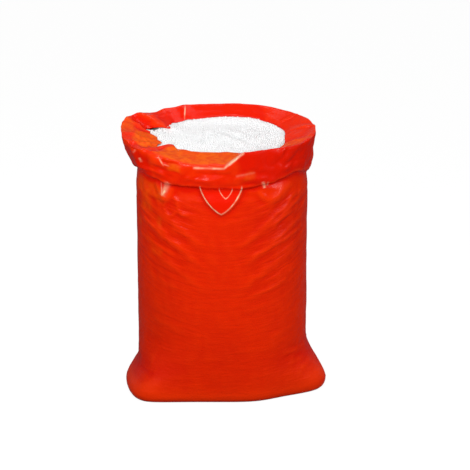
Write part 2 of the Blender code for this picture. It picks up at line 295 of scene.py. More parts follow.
def ranged(value, low, high, to_low=0.0, to_high=1.0, curve="LINEAR"):
    """The value carried over from one range to another, and held inside it."""
    ends = {"From Min": low, "From Max": high, "To Min": to_low, "To Max": to_high}
    kind = "ShaderNodeMapRange"
    return output_of(value.tree, kind, "Result", interpolation_type=curve, Value=value, **ends)


def new_material(name, **inputs):
    """A material, its tree, and its shader with those inputs."""
    made = bpy.data.materials.new(name)
    made.use_nodes = True
    tree = made.node_tree
    return made, tree, set_node(tree.nodes["Principled BSDF"], **inputs)


# %% World and floor
WHITE = (1.0, 1.0, 1.0, 1.0)
WORLD_STRENGTH = 0.37
FLOOR_HALF_SIZE = 14.0
FLOOR_GREY = (0.18, 0.18, 0.18, 1.0)
FLOOR_BRIGHTENING = 0.91


def camera_sees(tree):
    """1 for what the camera sees directly, 0 for light that bounces."""
    return output_of(tree, "ShaderNodeLightPath", "Is Camera Ray")


def add_world():
    """Even grey light all round that the camera sees as white."""
    world = bpy.data.worlds.new("studio")
    world.use_nodes = True
    tree = world.node_tree
    strength = ranged(camera_sees(tree), 0.0, 1.0, WORLD_STRENGTH)
    set_node(tree.nodes["Background"], Color=WHITE, Strength=strength)
    bpy.context.scene.world = world


def add_floor():
    """A plain pale floor that keeps the sack's shadow."""
    mesh = bpy.data.meshes.new("floor")
    corners = ((-1, -1), (1, -1), (1, 1), (-1, 1))
    points = [(x * FLOOR_HALF_SIZE, y * FLOOR_HALF_SIZE, 0) for x, y in corners]
    mesh.from_pydata(points, [], [(0, 1, 2, 3)])
    finish, tree, shader = new_material(
        "floor_white", Base_Color=FLOOR_GREY, Roughness=0.9, Specular_IOR_Level=0.0
    )
    set_node(shader, Emission_Color=WHITE, Emission_Strength=camera_sees(tree) * FLOOR_BRIGHTENING)
    mesh.materials.append(finish)
    add_object("floor", mesh)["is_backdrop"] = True


add_world()
add_floor()
print("floor of", 2 * FLOOR_HALF_SIZE, "m")

# %% [markdown]
# ## Small curves that everything uses
#
# All the forms below are sums of a few plain functions: a soft step, a bell-shaped ridge, a spline
# through control values, and a table that is read between its stations. They work on whole arrays
# at once, one value for each column of the film.


# %% Curve helpers
def between(low, high, share):
    """The value that lies this share of the way from low to high."""
    return low + (high - low) * share


def smooth(share):
    """A share from 0 to 1 with a soft start and end."""
    share = np.clip(share, 0.0, 1.0)
    return share * share * (3.0 - 2.0 * share)


def hump(distance, half_width):
    """A bell curve: 1 on the line, nearly 0 two half-widths away."""
    return np.exp(-((distance / half_width) ** 2))


def spline(before, start, end, after, share):
    """A point on the smooth curve through four control values, between the middle two."""
    bend = 2.0 * before - 5.0 * start + 4.0 * end - after
    twist = 3.0 * (start - end) + after - before
    return 0.5 * (2.0 * start + (end - before) * share + bend * share**2 + twist * share**3)


def station_value(stations, column, bearing):
    """A column of a table of stations round the bag, at each bearing."""
    stations = np.asarray(stations, dtype=float)
    bearing = np.mod(bearing, 360.0)
    index = np.searchsorted(stations[:, 0], bearing, side="right") - 1
    following = (index + 1) % len(stations)
    span = np.mod(stations[following, 0] - stations[index, 0], 360.0)
    share = smooth((bearing - stations[index, 0]) / span)
    return between(stations[index, column], stations[following, column], share)


# %% The wall and its directions
def on_oval(bearing, half_width, half_depth, squareness):
    """Points of a rounded oval: squareness 2 is an ellipse, more is boxier."""
    across = np.cos(np.radians(bearing))
    along = np.sin(np.radians(bearing))
    x = np.sign(across) * np.abs(across) ** (2.0 / squareness) * half_width
    y = np.sign(along) * np.abs(along) ** (2.0 / squareness) * half_depth
    return np.stack([x, y, np.zeros_like(x)], axis=-1)


def corner_reach(bearing, height):
    """How far the wall reaches out towards the nearer bottom corner of the tube."""
    on_left = np.cos(np.radians(bearing)) < 0
    reach = np.where(on_left, LEFT_CORNER[0], RIGHT_CORNER[0])
    top = np.where(on_left, LEFT_CORNER[1], RIGHT_CORNER[1])
    share = np.clip((top - height) / (top - FOOT_HEIGHT), 0.0, 1.0)
    return reach * between(share, smooth(share), 0.5)


def wall_points(bearing, height):
    """Points of the filled wall at one height."""
    foot = 1.0 - smooth(height / FOOT_FADE_HEIGHT)
    squareness = between(BODY_SQUARENESS, station_value(FOOT_STATIONS, 1, bearing), foot)
    slimming = SHOULDER_SLIMMING * max(0.0, 2.0 * height / SHOULDER_HEIGHT - 1.0) ** 2
    edge = min(1.0, height / FOOT_HEIGHT)
    inset = FOOT_INSET * (1.0 - math.sqrt(1.0 - (1.0 - edge) ** 2))
    half_width = BODY_WIDTH / 2 + corner_reach(bearing, height) - inset
    half_depth = BODY_DEPTH / 2 * (1.0 - slimming) - inset
    points = on_oval(bearing, half_width, half_depth, squareness)
    points[:, 1] -= CORNER_FORWARD * foot * (points[:, 0] / half_width) ** 2
    points[:, 2] = height
    return points


def outward_at(bearing):
    """The level directions that point away from the bag's axis at the shoulder."""
    along = wall_points(bearing + 1.0, SHOULDER_HEIGHT) - wall_points(bearing - 1.0, SHOULDER_HEIGHT)
    out = np.stack([along[:, 1], -along[:, 0], np.zeros(len(along))], axis=-1)
    return out / np.linalg.norm(out, axis=1, keepdims=True)


# %% Where the columns stand
COLUMNS = 276


def column_bearings(count):
    """Bearings that space the columns evenly along the wall, alike in front and behind."""
    marks = np.linspace(0.0, 180.0, 20 * count + 1)
    points = wall_points(marks, SHOULDER_HEIGHT)
    steps = np.linalg.norm(np.diff(points, axis=0), axis=1)
    lengths = np.concatenate([[0.0], np.cumsum(steps)])
    back = np.interp(np.linspace(0.0, lengths[-1], count // 2 + 1), lengths, marks)
    return np.concatenate([back, 360.0 - back[-2:0:-1]])


BEARINGS = column_bearings(COLUMNS)
OUTWARD = outward_at(BEARINGS)
SHOULDER = wall_points(BEARINGS, SHOULDER_HEIGHT)
print(len(BEARINGS), "columns round the film")

# %% [markdown]
# ## The beads' heap
#
# The beads are filled to the brim, so their top is a low mound with shallow dips. Its height is a
# formula of the place, because three things need it: the heap itself, the beads that lie on it,
# and the turned-in film, whose free edge rests on it.


# %% Height of the heap
def heap_height(x, y):
    """The height of the beads in the mouth: a low mound that slopes up towards the back."""
    radius = np.minimum(1.0, np.hypot(2.0 * x / BODY_WIDTH, 2.0 * y / BODY_DEPTH))
    middle = SHOULDER_HEIGHT + COLLAR_RISE - HEAP_BELOW_CREST
    return middle + HEAP_SLOPE * y + HEAP_RISE * (1.0 - radius**2)


def heap_lumps(x, y):
    """Shallow dips and bumps of the beads, dying out under the turned-in film."""
    radius = np.hypot(2.0 * x / BODY_WIDTH, 2.0 * y / BODY_DEPTH)
    across, along, slanting = HEAP_LUMP_WAVES
    ripple = np.sin(across * x + 1.7) * np.cos(along * y - 0.6) + 0.6 * np.sin(slanting * (x + y))
    return HEAP_LUMPS * ripple * smooth((HEAP_LUMP_SPREAD - radius) / HEAP_LUMP_FADE)


# %% The bank of beads against the film's edge
# How far the beads stand above the edge behind and below it in front, and, as parts of the way
# from the middle to the edge, where the bank starts, where it ends and how soon it falls off.
BANK_COVER = 0.0010
BANK_GAP = 0.0022
BANK_START = 0.72
BANK_END = 1.04
BANK_FADE = 0.12


def bank_height(x, y, edge):
    """How much higher the beads lie where they are pushed up against the film's free edge."""
    edge = edge[np.argsort(np.arctan2(edge[:, 1], edge[:, 0]))]
    direction = np.arctan2(edge[:, 1], edge[:, 0])
    cover = np.where(edge[:, 1] > 0.0, BANK_COVER, -BANK_GAP)
    lift = edge[:, 2] - heap_height(edge[:, 0], edge[:, 1]) + cover
    distance, rise = (
        np.interp(np.arctan2(y, x), direction, values, period=2.0 * math.pi)
        for values in (np.hypot(edge[:, 0], edge[:, 1]), lift)
    )
    share = np.hypot(x, y) / distance
    bank = np.maximum(0.0, rise) * smooth((share - BANK_START) / (1.0 - BANK_START))
    return bank * (1.0 - smooth((share - BANK_END) / BANK_FADE))


# %% [markdown]
# ## The film
#
# The film is one sheet, so it is one grid: columns round the bag, rows from the bottom weld up the
# wall, over the roll and the crest, and in to the free edge. A loft like this keeps every fold in
# reach of a formula. The rows are close together in the collar, where the folds are, and wide
# apart under the base, which nobody sees.


# %% Rows of the plain form
BASE_ROW_COUNT = 5
FOOT_ROW_HEIGHTS = (0.0, 0.0015, 0.005, 0.011, 0.018, 0.026)
CORNER_ROW_COUNT = 9
WALL_ROW_COUNT = 84
WALL_CROWDING = 0.35
COLLAR_ROW_COUNTS = (8, 6, 14, 14, 18, 16)
# How straight each stretch of the collar runs between its control points: 0 is round.
CRISP_SPANS = (0.0, 0.0, 0.2, 0.45, 0.45, 0.2)


def base_rows():
    """Rows of the flat base, from the weld that runs left to right out to the foot."""
    edge = wall_points(BEARINGS, 0.0)
    share = WELD_SHARE * np.abs(on_oval(BEARINGS, 1.0, 1.0, BODY_SQUARENESS)[:, 0])
    right, left = wall_points(np.array([0.0, 180.0]), 0.0)
    tip = np.where((edge[:, 0] > 0)[:, None], right, left)
    weld = np.stack([share * tip[:, 0], share**2 * tip[:, 1], np.zeros(COLUMNS)], axis=-1)
    return [between(weld, edge, i / BASE_ROW_COUNT) for i in range(BASE_ROW_COUNT)]


def wall_heights():
    """Heights of the rows from the foot to the shoulder, closer together near the top."""
    corner = np.linspace(FOOT_HEIGHT, RIGHT_CORNER[1], CORNER_ROW_COUNT + 1)[1:]
    share = np.linspace(0.0, 1.0, WALL_ROW_COUNT + 1)[1:]
    crowded = (1.0 + WALL_CROWDING) * share - WALL_CROWDING * share**2
    wall = between(RIGHT_CORNER[1], SHOULDER_HEIGHT, crowded)
    return list(FOOT_ROW_HEIGHTS) + list(corner) + list(wall)


def collar_controls():
    """(outward, height) of the collar's control points at every column."""
    crease, bulge, flare, crest, tuck, lift = (
        size * station_value(COLLAR_STATIONS, column, BEARINGS)
        for column, size in enumerate(COLLAR_SIZES, start=1)
    )
    pinch = CREASE_DEPTH * station_value(COLLAR_STATIONS, ROLL_COLUMN, BEARINGS)
    edge = SHOULDER + OUTWARD * (flare - tuck)[:, None]
    edge_height = heap_height(edge[:, 0], edge[:, 1]) + lift - SHOULDER_HEIGHT
    none = np.zeros(COLUMNS)
    return (
        (none, -crease),
        (none, none),
        (-pinch, crease),
        (bulge + LIP_FLARE * flare, crease + ROLL_LIP),
        (NECK_BULGE * bulge + NECK_FLARE * flare, between(crease, crest, NECK_RISE)),
        (CREST_BULGE * bulge + flare, crest),
        (flare - 0.5 * tuck, between(crest, edge_height, 0.50)),
        (flare - tuck, edge_height),
        (flare - TUCK_OVERRUN * tuck, edge_height),
    )


def collar_rows():
    """Rows from just above the shoulder, over the roll and the crest, to the free edge."""
    controls = collar_controls()
    rows, path = [], []
    for span, steps in enumerate(COLLAR_ROW_COUNTS):
        corners = controls[span : span + 4]
        for step in range(1, steps + 1):
            share = step / steps
            out, rise = (
                between(spline(*values, share), between(values[1], values[2], share), CRISP_SPANS[span])
                for values in zip(*corners)
            )
            row = SHOULDER + OUTWARD * out[:, None]
            row[:, 2] = SHOULDER_HEIGHT + rise
            rows.append(row)
            path.append(span + share)
    return rows, path


# %% Put the rows together
def plain_film():
    """The film's rows and how far along the film each one lies: the path.

    The path is -2 at the weld, -1 at the foot, 0 at the shoulder, 1 in the crease, 4 at the crest
    and 6 at the free edge.
    """
    base = base_rows()
    heights = wall_heights()
    wall = [wall_points(BEARINGS, height) for height in heights]
    collar, collar_path = collar_rows()
    base_path = [-2.0 + i / BASE_ROW_COUNT for i in range(BASE_ROW_COUNT)]
    wall_path = [height / SHOULDER_HEIGHT - 1.0 for height in heights]
    return np.array(base + wall + collar), np.array(base_path + wall_path + collar_path)


PLAIN, PATH = plain_film()
print("film grid:", PLAIN.shape[0], "rows by", PLAIN.shape[1], "columns")


# %% Directions square to the film
def grid_normals(rows):
    """The outward direction at every point of a grid of rows that closes all round."""
    along = np.roll(rows, -1, axis=1) - np.roll(rows, 1, axis=1)
    up = np.gradient(rows, axis=0)
    normal = np.cross(along, up)
    length = np.linalg.norm(normal, axis=2, keepdims=True)
    return normal / np.maximum(length, 1e-9)


# %% [markdown]
# ## Folds
#
# Folds come in families, and each family has its cause. Slack film sags from the roll in pouches.
# The weight of the beads pulls broad swags and many short drag lines from the two shoulders down
# towards the middle. Turning the top in gathers pleats round the mouth. Everywhere else the film
# is crumpled a little by handling, and the folds that catch the eye are placed one by one. Each
# family is one function that says how far the film stands off the plain form.

# %% Pouches that sag from the roll
# For each: middle x, half width, drop below the crease, depth of the bulge and how soft its edge is.
SAGS = (
    (0.001, 0.066, 0.080, 0.009, 0.16),
    (-0.163, 0.034, 0.058, 0.009, 0.45),
    (0.121, 0.026, 0.040, 0.006, 0.50),
    (0.150, 0.062, 0.074, 0.006, 0.70),
)
SAG_POINTEDNESS = 1.35
SAG_TOP = SHOULDER_HEIGHT + CREASE_RISE
SAG_FADE = 0.02


def sag_reach(points, sag):
    """1 well inside a pouch, 0 on its rounded V-shaped outline and outside it."""
    x, half_width, drop, _, edge = sag
    sideways = np.abs(points[..., 0] - x) / half_width
    below = np.maximum(0.0, SAG_TOP - points[..., 2]) / drop
    outline = sideways**SAG_POINTEDNESS + below**SAG_POINTEDNESS
    return smooth((1.0 - outline ** (1.0 / SAG_POINTEDNESS)) / edge)


def sags(points):
    """How far the slack film under the roll bulges."""
    relief = np.zeros(points.shape[:-1])
    for sag in SAGS:
        relief = np.maximum(relief, sag[3] * sag_reach(points, sag))
    fade = 1.0 - smooth((points[..., 2] - SAG_TOP) / SAG_FADE)
    return relief * fade * (points[..., 1] < 0)


# %% Swags between the shoulders
# For each: front or back, height at mid side as a share of the shoulder's, and height of its ridge.
SWAGS = (
    (-1, 0.87, 0.0030),
    (-1, 0.77, 0.0026),
    (-1, 0.66, 0.0020),
    (1, 0.90, 0.0050),
    (1, 0.78, 0.0040),
)
SWAG_STEEPNESS = 0.70
SWAG_HALF_WIDTH = 0.014
# Where the swags start, and over how much they grow and die out, as parts of the way to the side.
SWAG_START, SWAG_GROWTH, SWAG_FADE = 0.12, 0.3, 0.25


def swags(points):
    """The broad swags that hang between the two shoulders, front and back."""
    across = np.abs(points[..., 0]) / (BODY_WIDTH / 2)
    window = smooth((across - SWAG_START) / SWAG_GROWTH) * smooth((1.0 - across) / SWAG_FADE)
    relief = np.zeros(points.shape[:-1])
    for side, lowest, crest in SWAGS:
        line = lowest * SHOULDER_HEIGHT + SWAG_STEEPNESS * (np.abs(points[..., 0]) - BODY_WIDTH / 4)
        on_side = np.sign(points[..., 1]) == side
        relief += on_side * crest * window * hump(points[..., 2] - line, SWAG_HALF_WIDTH)
    return relief


# %% Drag lines: many short creases that hang in curves between the shoulders
DRAG_LINE_COUNT = 170
DRAG_LINE_SEED = 11
DRAG_LINES_IN_FRONT = 0.6
DRAG_LINE_LOWEST, DRAG_LINE_CROWDING = 0.95, 1.6
DRAG_LINE_REACH = (0.04, 0.235)
DRAG_LINE_SLANT = (-0.15, 0.15)
DRAG_LINE_HALF_LENGTH = (0.03, 0.10)
DRAG_LINE_HALF_WIDTH = (0.0040, 0.0065)
DRAG_LINE_DEPTH = (0.0003, 0.0009)
HANGING_CURVE = 1.5
HANGING_HEIGHT = 0.50


def drag_lines(points):
    """Fine creases of the wall, each a short tapered ridge that slants down towards the middle."""
    chance = np.random.default_rng(DRAG_LINE_SEED)
    relief = np.zeros(points.shape[:-1])
    for _ in range(DRAG_LINE_COUNT):
        side = 1.0 if chance.random() < 0.5 else -1.0
        face = -1.0 if chance.random() < DRAG_LINES_IN_FRONT else 1.0
        middle_x = side * chance.uniform(*DRAG_LINE_REACH)
        down = DRAG_LINE_LOWEST * chance.random() ** DRAG_LINE_CROWDING
        middle_z = SHOULDER_HEIGHT * (1.0 - down)
        hanging = 2.0 * HANGING_CURVE * abs(middle_x) * min(1.0, middle_z / HANGING_HEIGHT)
        slant = hanging + chance.uniform(*DRAG_LINE_SLANT)
        half_length = chance.uniform(*DRAG_LINE_HALF_LENGTH)
        half_width = chance.uniform(*DRAG_LINE_HALF_WIDTH)
        depth = chance.uniform(*DRAG_LINE_DEPTH) * between(0.5, 1.0, middle_z / SHOULDER_HEIGHT)
        dx = (points[..., 0] - middle_x) * side
        dz = points[..., 2] - middle_z
        turn = math.hypot(1.0, slant)
        along = (dx + dz * slant) / turn
        off = (dz - dx * slant) / turn
        taper = np.clip(1.0 - (along / half_length) ** 2, 0.0, 1.0)
        on_face = np.sign(points[..., 1]) == face
        relief += on_face * depth * taper * hump(off, half_width)
    return relief


# %% Folds that can be told apart
# For each: height, half width and the places that it runs through, as (bearing, path).
SINGLE_FOLDS = (
    (0.0030, 0.0060, (275, 2.61), (285, 2.44), (297, 2.28)),
    (-0.0022, 0.0050, (277, 2.95), (286, 2.70), (297, 2.60)),
    (0.0035, 0.0060, (208, 2.44), (224, 2.61), (236, 2.56)),
    (-0.0025, 0.0055, (222, 3.17), (233, 3.00), (247, 3.00)),
    (0.0026, 0.0065, (250, 2.78), (262, 2.61), (271, 2.89)),
    (-0.0020, 0.0060, (257, 3.33), (267, 3.22), (275, 3.22)),
    (0.0028, 0.0070, (281, 0.80), (290, 0.60), (298, 0.10), (311, 0.40), (325, 0.60)),
    (0.0030, 0.0060, (204, 0.40), (220, 0.10), (229, -0.07)),
    (0.0035, 0.0055, (215, 0.50), (232, -0.03), (244, -0.05)),
    (0.0030, 0.0060, (240, 0.30), (244, -0.03), (253, -0.06)),
    (0.0028, 0.0055, (335, 0.10), (316, -0.03), (302, -0.07)),
    (0.0028, 0.0060, (331, -0.06), (312, -0.09), (300, -0.14)),
    (0.0022, 0.0055, (308, -0.06), (298, -0.10), (290, -0.14)),
    (0.0024, 0.0060, (338, -0.16), (317, -0.19), (301, -0.22)),
    (0.0020, 0.0060, (319, -0.19), (300, -0.23), (285, -0.27)),
    (0.0022, 0.0050, (316, -0.39), (300, -0.43), (282, -0.47)),
    (0.0016, 0.0060, (333, -0.34), (316, -0.37), (300, -0.38)),
    (0.0024, 0.0055, (201, -0.07), (215, -0.09), (224, -0.11)),
    (0.0024, 0.0060, (207, -0.12), (223, -0.14), (236, -0.17)),
    (0.0020, 0.0065, (197, -0.19), (223, -0.23), (242, -0.27)),
    (0.0020, 0.0060, (218, -0.14), (238, -0.20), (254, -0.24)),
    (0.0018, 0.0070, (201, -0.35), (226, -0.40), (245, -0.43)),
    (0.0016, 0.0080, (220, -0.60), (236, -0.62), (249, -0.64)),
    (0.0028, 0.0060, (352, -0.78), (330, -0.78), (312, -0.77)),
    (0.0026, 0.0060, (350, -0.80), (330, -0.82), (316, -0.83)),
    (0.0024, 0.0060, (348, -0.84), (331, -0.86), (320, -0.90)),
    (0.0024, 0.0060, (186, -0.86), (210, -0.84), (228, -0.84)),
    (0.0024, 0.0060, (190, -0.88), (210, -0.88), (226, -0.90)),
    (0.0026, 0.0055, (163, 5.10), (153, 5.60), (146, 5.80)),
    (0.0030, 0.0055, (148, 4.45), (137, 4.60), (122, 4.85)),
    (-0.0030, 0.0055, (191, 4.50), (207, 4.10), (212, 3.44)),
    (0.0030, 0.0055, (201, 4.70), (217, 4.25), (228, 4.40)),
    (0.0026, 0.0050, (186, 5.10), (199, 5.40), (214, 4.90)),
    (-0.0030, 0.0050, (232, 4.10), (236, 3.61), (247, 3.90)),
    (0.0030, 0.0060, (12, 5.20), (8, 4.40), (4, 3.60)),
    (0.0030, 0.0060, (345, 5.40), (343, 4.60), (338, 3.70)),
    (-0.0025, 0.0055, (355, 4.30), (352, 3.40), (350, 2.60)),
    (0.0028, 0.0060, (320, 4.60), (312, 4.05), (306, 3.30)),
    (-0.0026, 0.0055, (326, 3.60), (318, 3.00), (308, 2.60)),
    (0.0026, 0.0055, (44, 5.30), (38, 4.60), (34, 3.90)),
)
FOLD_STEPS = 12


def film_place(bearing, path):
    """The point of the plain film at a bearing and a path."""
    column = float(np.interp(bearing, np.append(BEARINGS, 360.0), np.arange(COLUMNS + 1)))
    row = float(np.interp(path, PATH, np.arange(len(PATH))))
    left, low = int(column), min(int(row), len(PATH) - 2)
    sides = PLAIN[low : low + 2].take([left, left + 1], axis=1, mode="wrap")
    across = between(sides[:, 0], sides[:, 1], column - left)
    return between(across[0], across[1], row - low)


def fold_line(stops):
    """Points close together along a smooth curve through some places on the film."""
    stops = [stops[0], *stops, stops[-1]]
    places = []
    for corners in zip(stops, stops[1:], stops[2:], stops[3:]):
        for step in range(FOLD_STEPS):
            stop = (spline(*values, step / FOLD_STEPS) for values in zip(*corners))
            places.append(film_place(*stop))
    return np.array(places)


def single_folds(points):
    """The folds that are placed one by one, each a ridge or a groove that tapers at its ends."""
    relief = np.zeros(points.shape[:-1])
    for height, half_width, *stops in SINGLE_FOLDS:
        line = fold_line(stops)
        offsets = np.linalg.norm(points[..., None, :] - line, axis=-1)
        share = offsets.argmin(axis=-1) / (len(line) - 1)
        taper = np.sqrt(np.clip(4.0 * share * (1.0 - share), 0.0, 1.0))
        relief += height * taper * hump(offsets.min(axis=-1), half_width)
    return relief


# %% Pleats and crumple of the collar
# For each pleat: its bearing and how high it stands.
PLEATS = (
    (112, 0.003), (128, 0.004), (150, 0.005), (164, 0.004), (184, 0.004), (198, 0.005), (214, 0.004)
)
PLEAT_HALF_ANGLE = 3.5
PLEAT_GROWTH = 2.5
PLEAT_START = 0.6
EDGE_PATH = 6.0


def pleats(path, bearing):
    """The gathered pleats, which rise over the crest and run out on the flap."""
    relief = np.zeros(np.broadcast(path, bearing).shape)
    for at, height in PLEATS:
        relief = relief + height * hump(bearing - at, PLEAT_HALF_ANGLE)
    return relief * smooth(PLEAT_GROWTH * path / EDGE_PATH - PLEAT_START)


def crumple(points, height, spacing, octaves=2):
    """Sharp random creases of about that height and spacing, with a mean of 0."""
    spots = (points / spacing).reshape(-1, 3)
    values = np.array([noise.turbulence(Vector(spot), octaves, True) for spot in spots])
    values = values.reshape(points.shape[:-1])
    return height * (values - values.mean())


# %% Lay the folds on the plain form
# Height and spacing of the crumple, how it is stretched, and how much of it each bearing has.
WALL_CRUMPLE = (0.0020, 0.060)
COLLAR_CRUMPLE = (0.0100, 0.055)
CRUMPLE_STRETCH = np.array([1.0, 1.0, 0.55])
COLLAR_STRETCH = np.array([0.75, 0.75, 0.95])
CRUMPLED_STATIONS = (
    (0, 0.65), (40, 0.40), (95, 0.22), (125, 0.60), (160, 0.90),
    (215, 0.90), (245, 0.60), (285, 0.50), (330, 0.80),
)
# Where the wall and the collar start and end on the path, and over how much of it they fade.
COLLAR_START, COLLAR_FADE = 0.3, 1.2
WALL_START, WALL_START_FADE, WALL_END_FADE = -1.0, 0.12, 0.8


def collar_share(path):
    """0 on the wall, up to 1 in the collar where it is gathered most, at the left corner."""
    gathered = station_value(CRUMPLED_STATIONS, 1, BEARINGS)[None, :]
    return smooth((path - COLLAR_START) / COLLAR_FADE) * gathered


def wall_share(path):
    """1 on the wall, 0 on the base and in the collar."""
    return smooth((path - WALL_START) / WALL_START_FADE) * (1.0 - smooth(path / WALL_END_FADE))


def folded_film():
    """The film with the folds that it has before it settles."""
    path = PATH[:, None]
    relief = (sags(PLAIN) + swags(PLAIN) * wall_share(path)) * (path > WALL_START)
    folded = PLAIN + np.broadcast_to(OUTWARD, PLAIN.shape) * relief[..., None]
    folded[..., 2] += pleats(path, BEARINGS[None, :]) * (path > 0.0)
    fine = crumple(PLAIN * CRUMPLE_STRETCH, *WALL_CRUMPLE) * wall_share(path)
    fine += crumple(PLAIN * COLLAR_STRETCH, *COLLAR_CRUMPLE) * collar_share(path)
    return folded + grid_normals(PLAIN) * fine[..., None]


FOLDED = folded_film()
print("folds move the film by up to", round(float(np.abs(FOLDED - PLAIN).max()) * 1000, 1), "mm")

# %% [markdown]
# ## From numbers to a mesh
#
# A grid becomes one mesh whose rows close all round. Its first row folds shut along the bottom
# weld, where the points in front meet those behind and are merged. Any value that the finish needs
# later, such as where the film is single, goes along as an attribute.


# %% Mesh helpers
def grid_faces(row_count, column_count):
    """Faces of a grid of rows that closes all round, pointing outwards."""
    index = np.arange(row_count * column_count).reshape(row_count, column_count)
    low, high = index[:-1], index[1:]
    quads = np.stack([low, np.roll(low, -1, 1), np.roll(high, -1, 1), high], axis=-1)
    return quads.reshape(-1, 4)


def plain_mesh(name, rows):
    """A smooth-shaded mesh through a grid of rows."""
    mesh = bpy.data.meshes.new(name)
    faces = grid_faces(rows.shape[0], rows.shape[1])
    mesh.from_pydata(rows.reshape(-1, 3).tolist(), [], faces.tolist())
    mesh.shade_smooth()
    return mesh


def close_weld(mesh):
    """Merges the points that lie on each other."""
    shape = bmesh.new()
    shape.from_mesh(mesh)
    bmesh.ops.remove_doubles(shape, verts=shape.verts, dist=1e-6)
    shape.to_mesh(mesh)
    shape.free()


def tree_of(obj):
    """A search tree over an object's own faces."""
    shape = bmesh.new()
    shape.from_mesh(obj.data)
    made = BVHTree.FromBMesh(shape)
    shape.free()
    return made


# %% [markdown]
# ## The mass of beads
#
# A million beads can't each be a mesh, and only the top layer shows. So the mass is one solid: it
# follows the inside of the film up to the brim, and then runs in over the heap. It is made before
# the film, because the film settles on it, and once more after that, because its beads are banked
# up against the film's free edge where that came to lie.

# %% The mass of beads
MASS_CLEARANCE = 0.0025
MASS_RINGS = 56
MASS_ROW_STEP = 3
BRIM_INSET = 0.008
TOP_LAYER_DEPTH = 0.0012
BRIM_BLEND = 3.0


def mass_rows(edge):
    """Rows of the beads' mass: inside the film up to the brim, then in over the heap."""
    wall_count = int(np.sum(PATH <= 1.0))
    wall = (PLAIN - grid_normals(PLAIN) * MASS_CLEARANCE)[:wall_count:MASS_ROW_STEP]
    wall[0] = PLAIN[0] + np.array([0.0, 0.0, MASS_CLEARANCE])
    wall[..., 2] = np.maximum(wall[..., 2], MASS_CLEARANCE)
    controls = collar_controls()
    brim = SHOULDER + OUTWARD * (controls[2][0] - BRIM_INSET)[:, None]
    highest = SHOULDER_HEIGHT + controls[5][1] - BRIM_INSET
    brim[:, 2] = np.minimum(highest, heap_height(brim[:, 0], brim[:, 1])) - TOP_LAYER_DEPTH
    rows = list(wall) + [brim]
    for ring in range(1, MASS_RINGS + 1):
        share = 1.0 - ring / MASS_RINGS
        x, y = brim[:, 0] * share, brim[:, 1] * share
        height = heap_height(x, y) + heap_lumps(x, y) - TOP_LAYER_DEPTH
        height = between(brim[:, 2], height, smooth((1.0 - share) * BRIM_BLEND))
        rows.append(np.stack([x, y, height + bank_height(x, y, edge)], axis=-1))
    return np.array(rows)[:, ::2]


def mass_mesh(edge):
    """The mesh of the beads' mass, banked up against a free edge of the film."""
    mesh = plain_mesh("bead_mass", mass_rows(edge))
    close_weld(mesh)
    return mesh


bead_mass = add_object("bead_mass", mass_mesh(PLAIN[-1]))
print("mass of beads:", len(bead_mass.data.polygons), "faces")

# %% [markdown]
# ## Let the film settle
#
# Folds written as formulas look drawn: each is right, but they don't know of each other. The Cloth
# simulation makes one film of them. The film is given a little too much length all over, and
# gravity is off, so it bends, slips and buckles until its folds agree, with the beads' mass as an
# obstacle inside. No point may end far from where it began, which keeps the sack's outline.

# %% Settle the film
SETTLE_FRAMES = 15
SETTLE_EXCESS = 0.05
SETTLE_CAP = 0.011
HELD_PATH, HELD_FADE = -0.92, 0.12
FILM_GAP, BEADS_GAP = 0.0010, 0.0005
FILM_FEEL = {
    "quality": 6,
    "mass": 0.1,
    "tension_stiffness": 40.0,
    "compression_stiffness": 40.0,
    "shear_stiffness": 20.0,
    "bending_stiffness": 0.05,
    "vertex_group_mass": "held",
    "vertex_group_shrink": "free",
    "shrink_max": -SETTLE_EXCESS,
}


def hold_base(piece):
    """Vertex groups: the base is held, and the film grows from the foot upwards."""
    held = piece.vertex_groups.new(name="held")
    free = piece.vertex_groups.new(name="free")
    for row, path in enumerate(PATH):
        start = row * COLUMNS
        share = float(smooth((path - HELD_PATH) / HELD_FADE))
        points = list(range(start, start + COLUMNS))
        held.add(points, 1.0 - share, "REPLACE")
        free.add(points, share, "REPLACE")


def make_cloth(piece):
    """Cloth with the stiffness of thin film, on the piece."""
    cloth = piece.modifiers.new("settle", "CLOTH")
    for name, value in FILM_FEEL.items():
        setattr(cloth.settings, name, value)
    cloth.settings.effector_weights.gravity = 0.0
    cloth.collision_settings.distance_min = FILM_GAP
    cloth.point_cache.frame_end = SETTLE_FRAMES


def settled(rows, obstacle):
    """The rows of the film after it has settled round the obstacle."""
    piece = add_object("settling_film", plain_mesh("settling_film", rows))
    hold_base(piece)
    make_cloth(piece)
    wall = obstacle.modifiers.new("obstacle", "COLLISION")
    obstacle.collision.thickness_outer = BEADS_GAP
    for frame_number in range(1, SETTLE_FRAMES + 1):
        bpy.context.scene.frame_set(frame_number)
    made = piece.evaluated_get(bpy.context.evaluated_depsgraph_get())
    flat = np.empty(rows.size, dtype=np.float32)
    made.data.vertices.foreach_get("co", flat)
    bpy.data.objects.remove(piece)
    obstacle.modifiers.remove(wall)
    bpy.context.scene.frame_set(1)
    move = flat.reshape(rows.shape) - rows
    far = np.linalg.norm(move, axis=2, keepdims=True)
    print("settling moved the film by up to", round(float(far.max()) * 1000, 1), "mm")
    return rows + move * np.minimum(1.0, SETTLE_CAP / np.maximum(far, 1e-9))


SETTLED = settled(FOLDED, bead_mass)

# %% [markdown]
# ## Fine creases
#
# Settling rounds everything a little. Real film also keeps the sharp, small creases of being
# handled, so these are laid on afterwards, square to the settled film: the drag lines, the folds
# that are placed one by one, and a finer crumple.

# %% Fine creases
# Height and spacing of the finer crumple.
FINE_WALL_CRUMPLE = (0.0005, 0.035)
FINE_COLLAR_CRUMPLE = (0.0022, 0.030)
FINE_CRUMPLE_SHIFT = 3.0


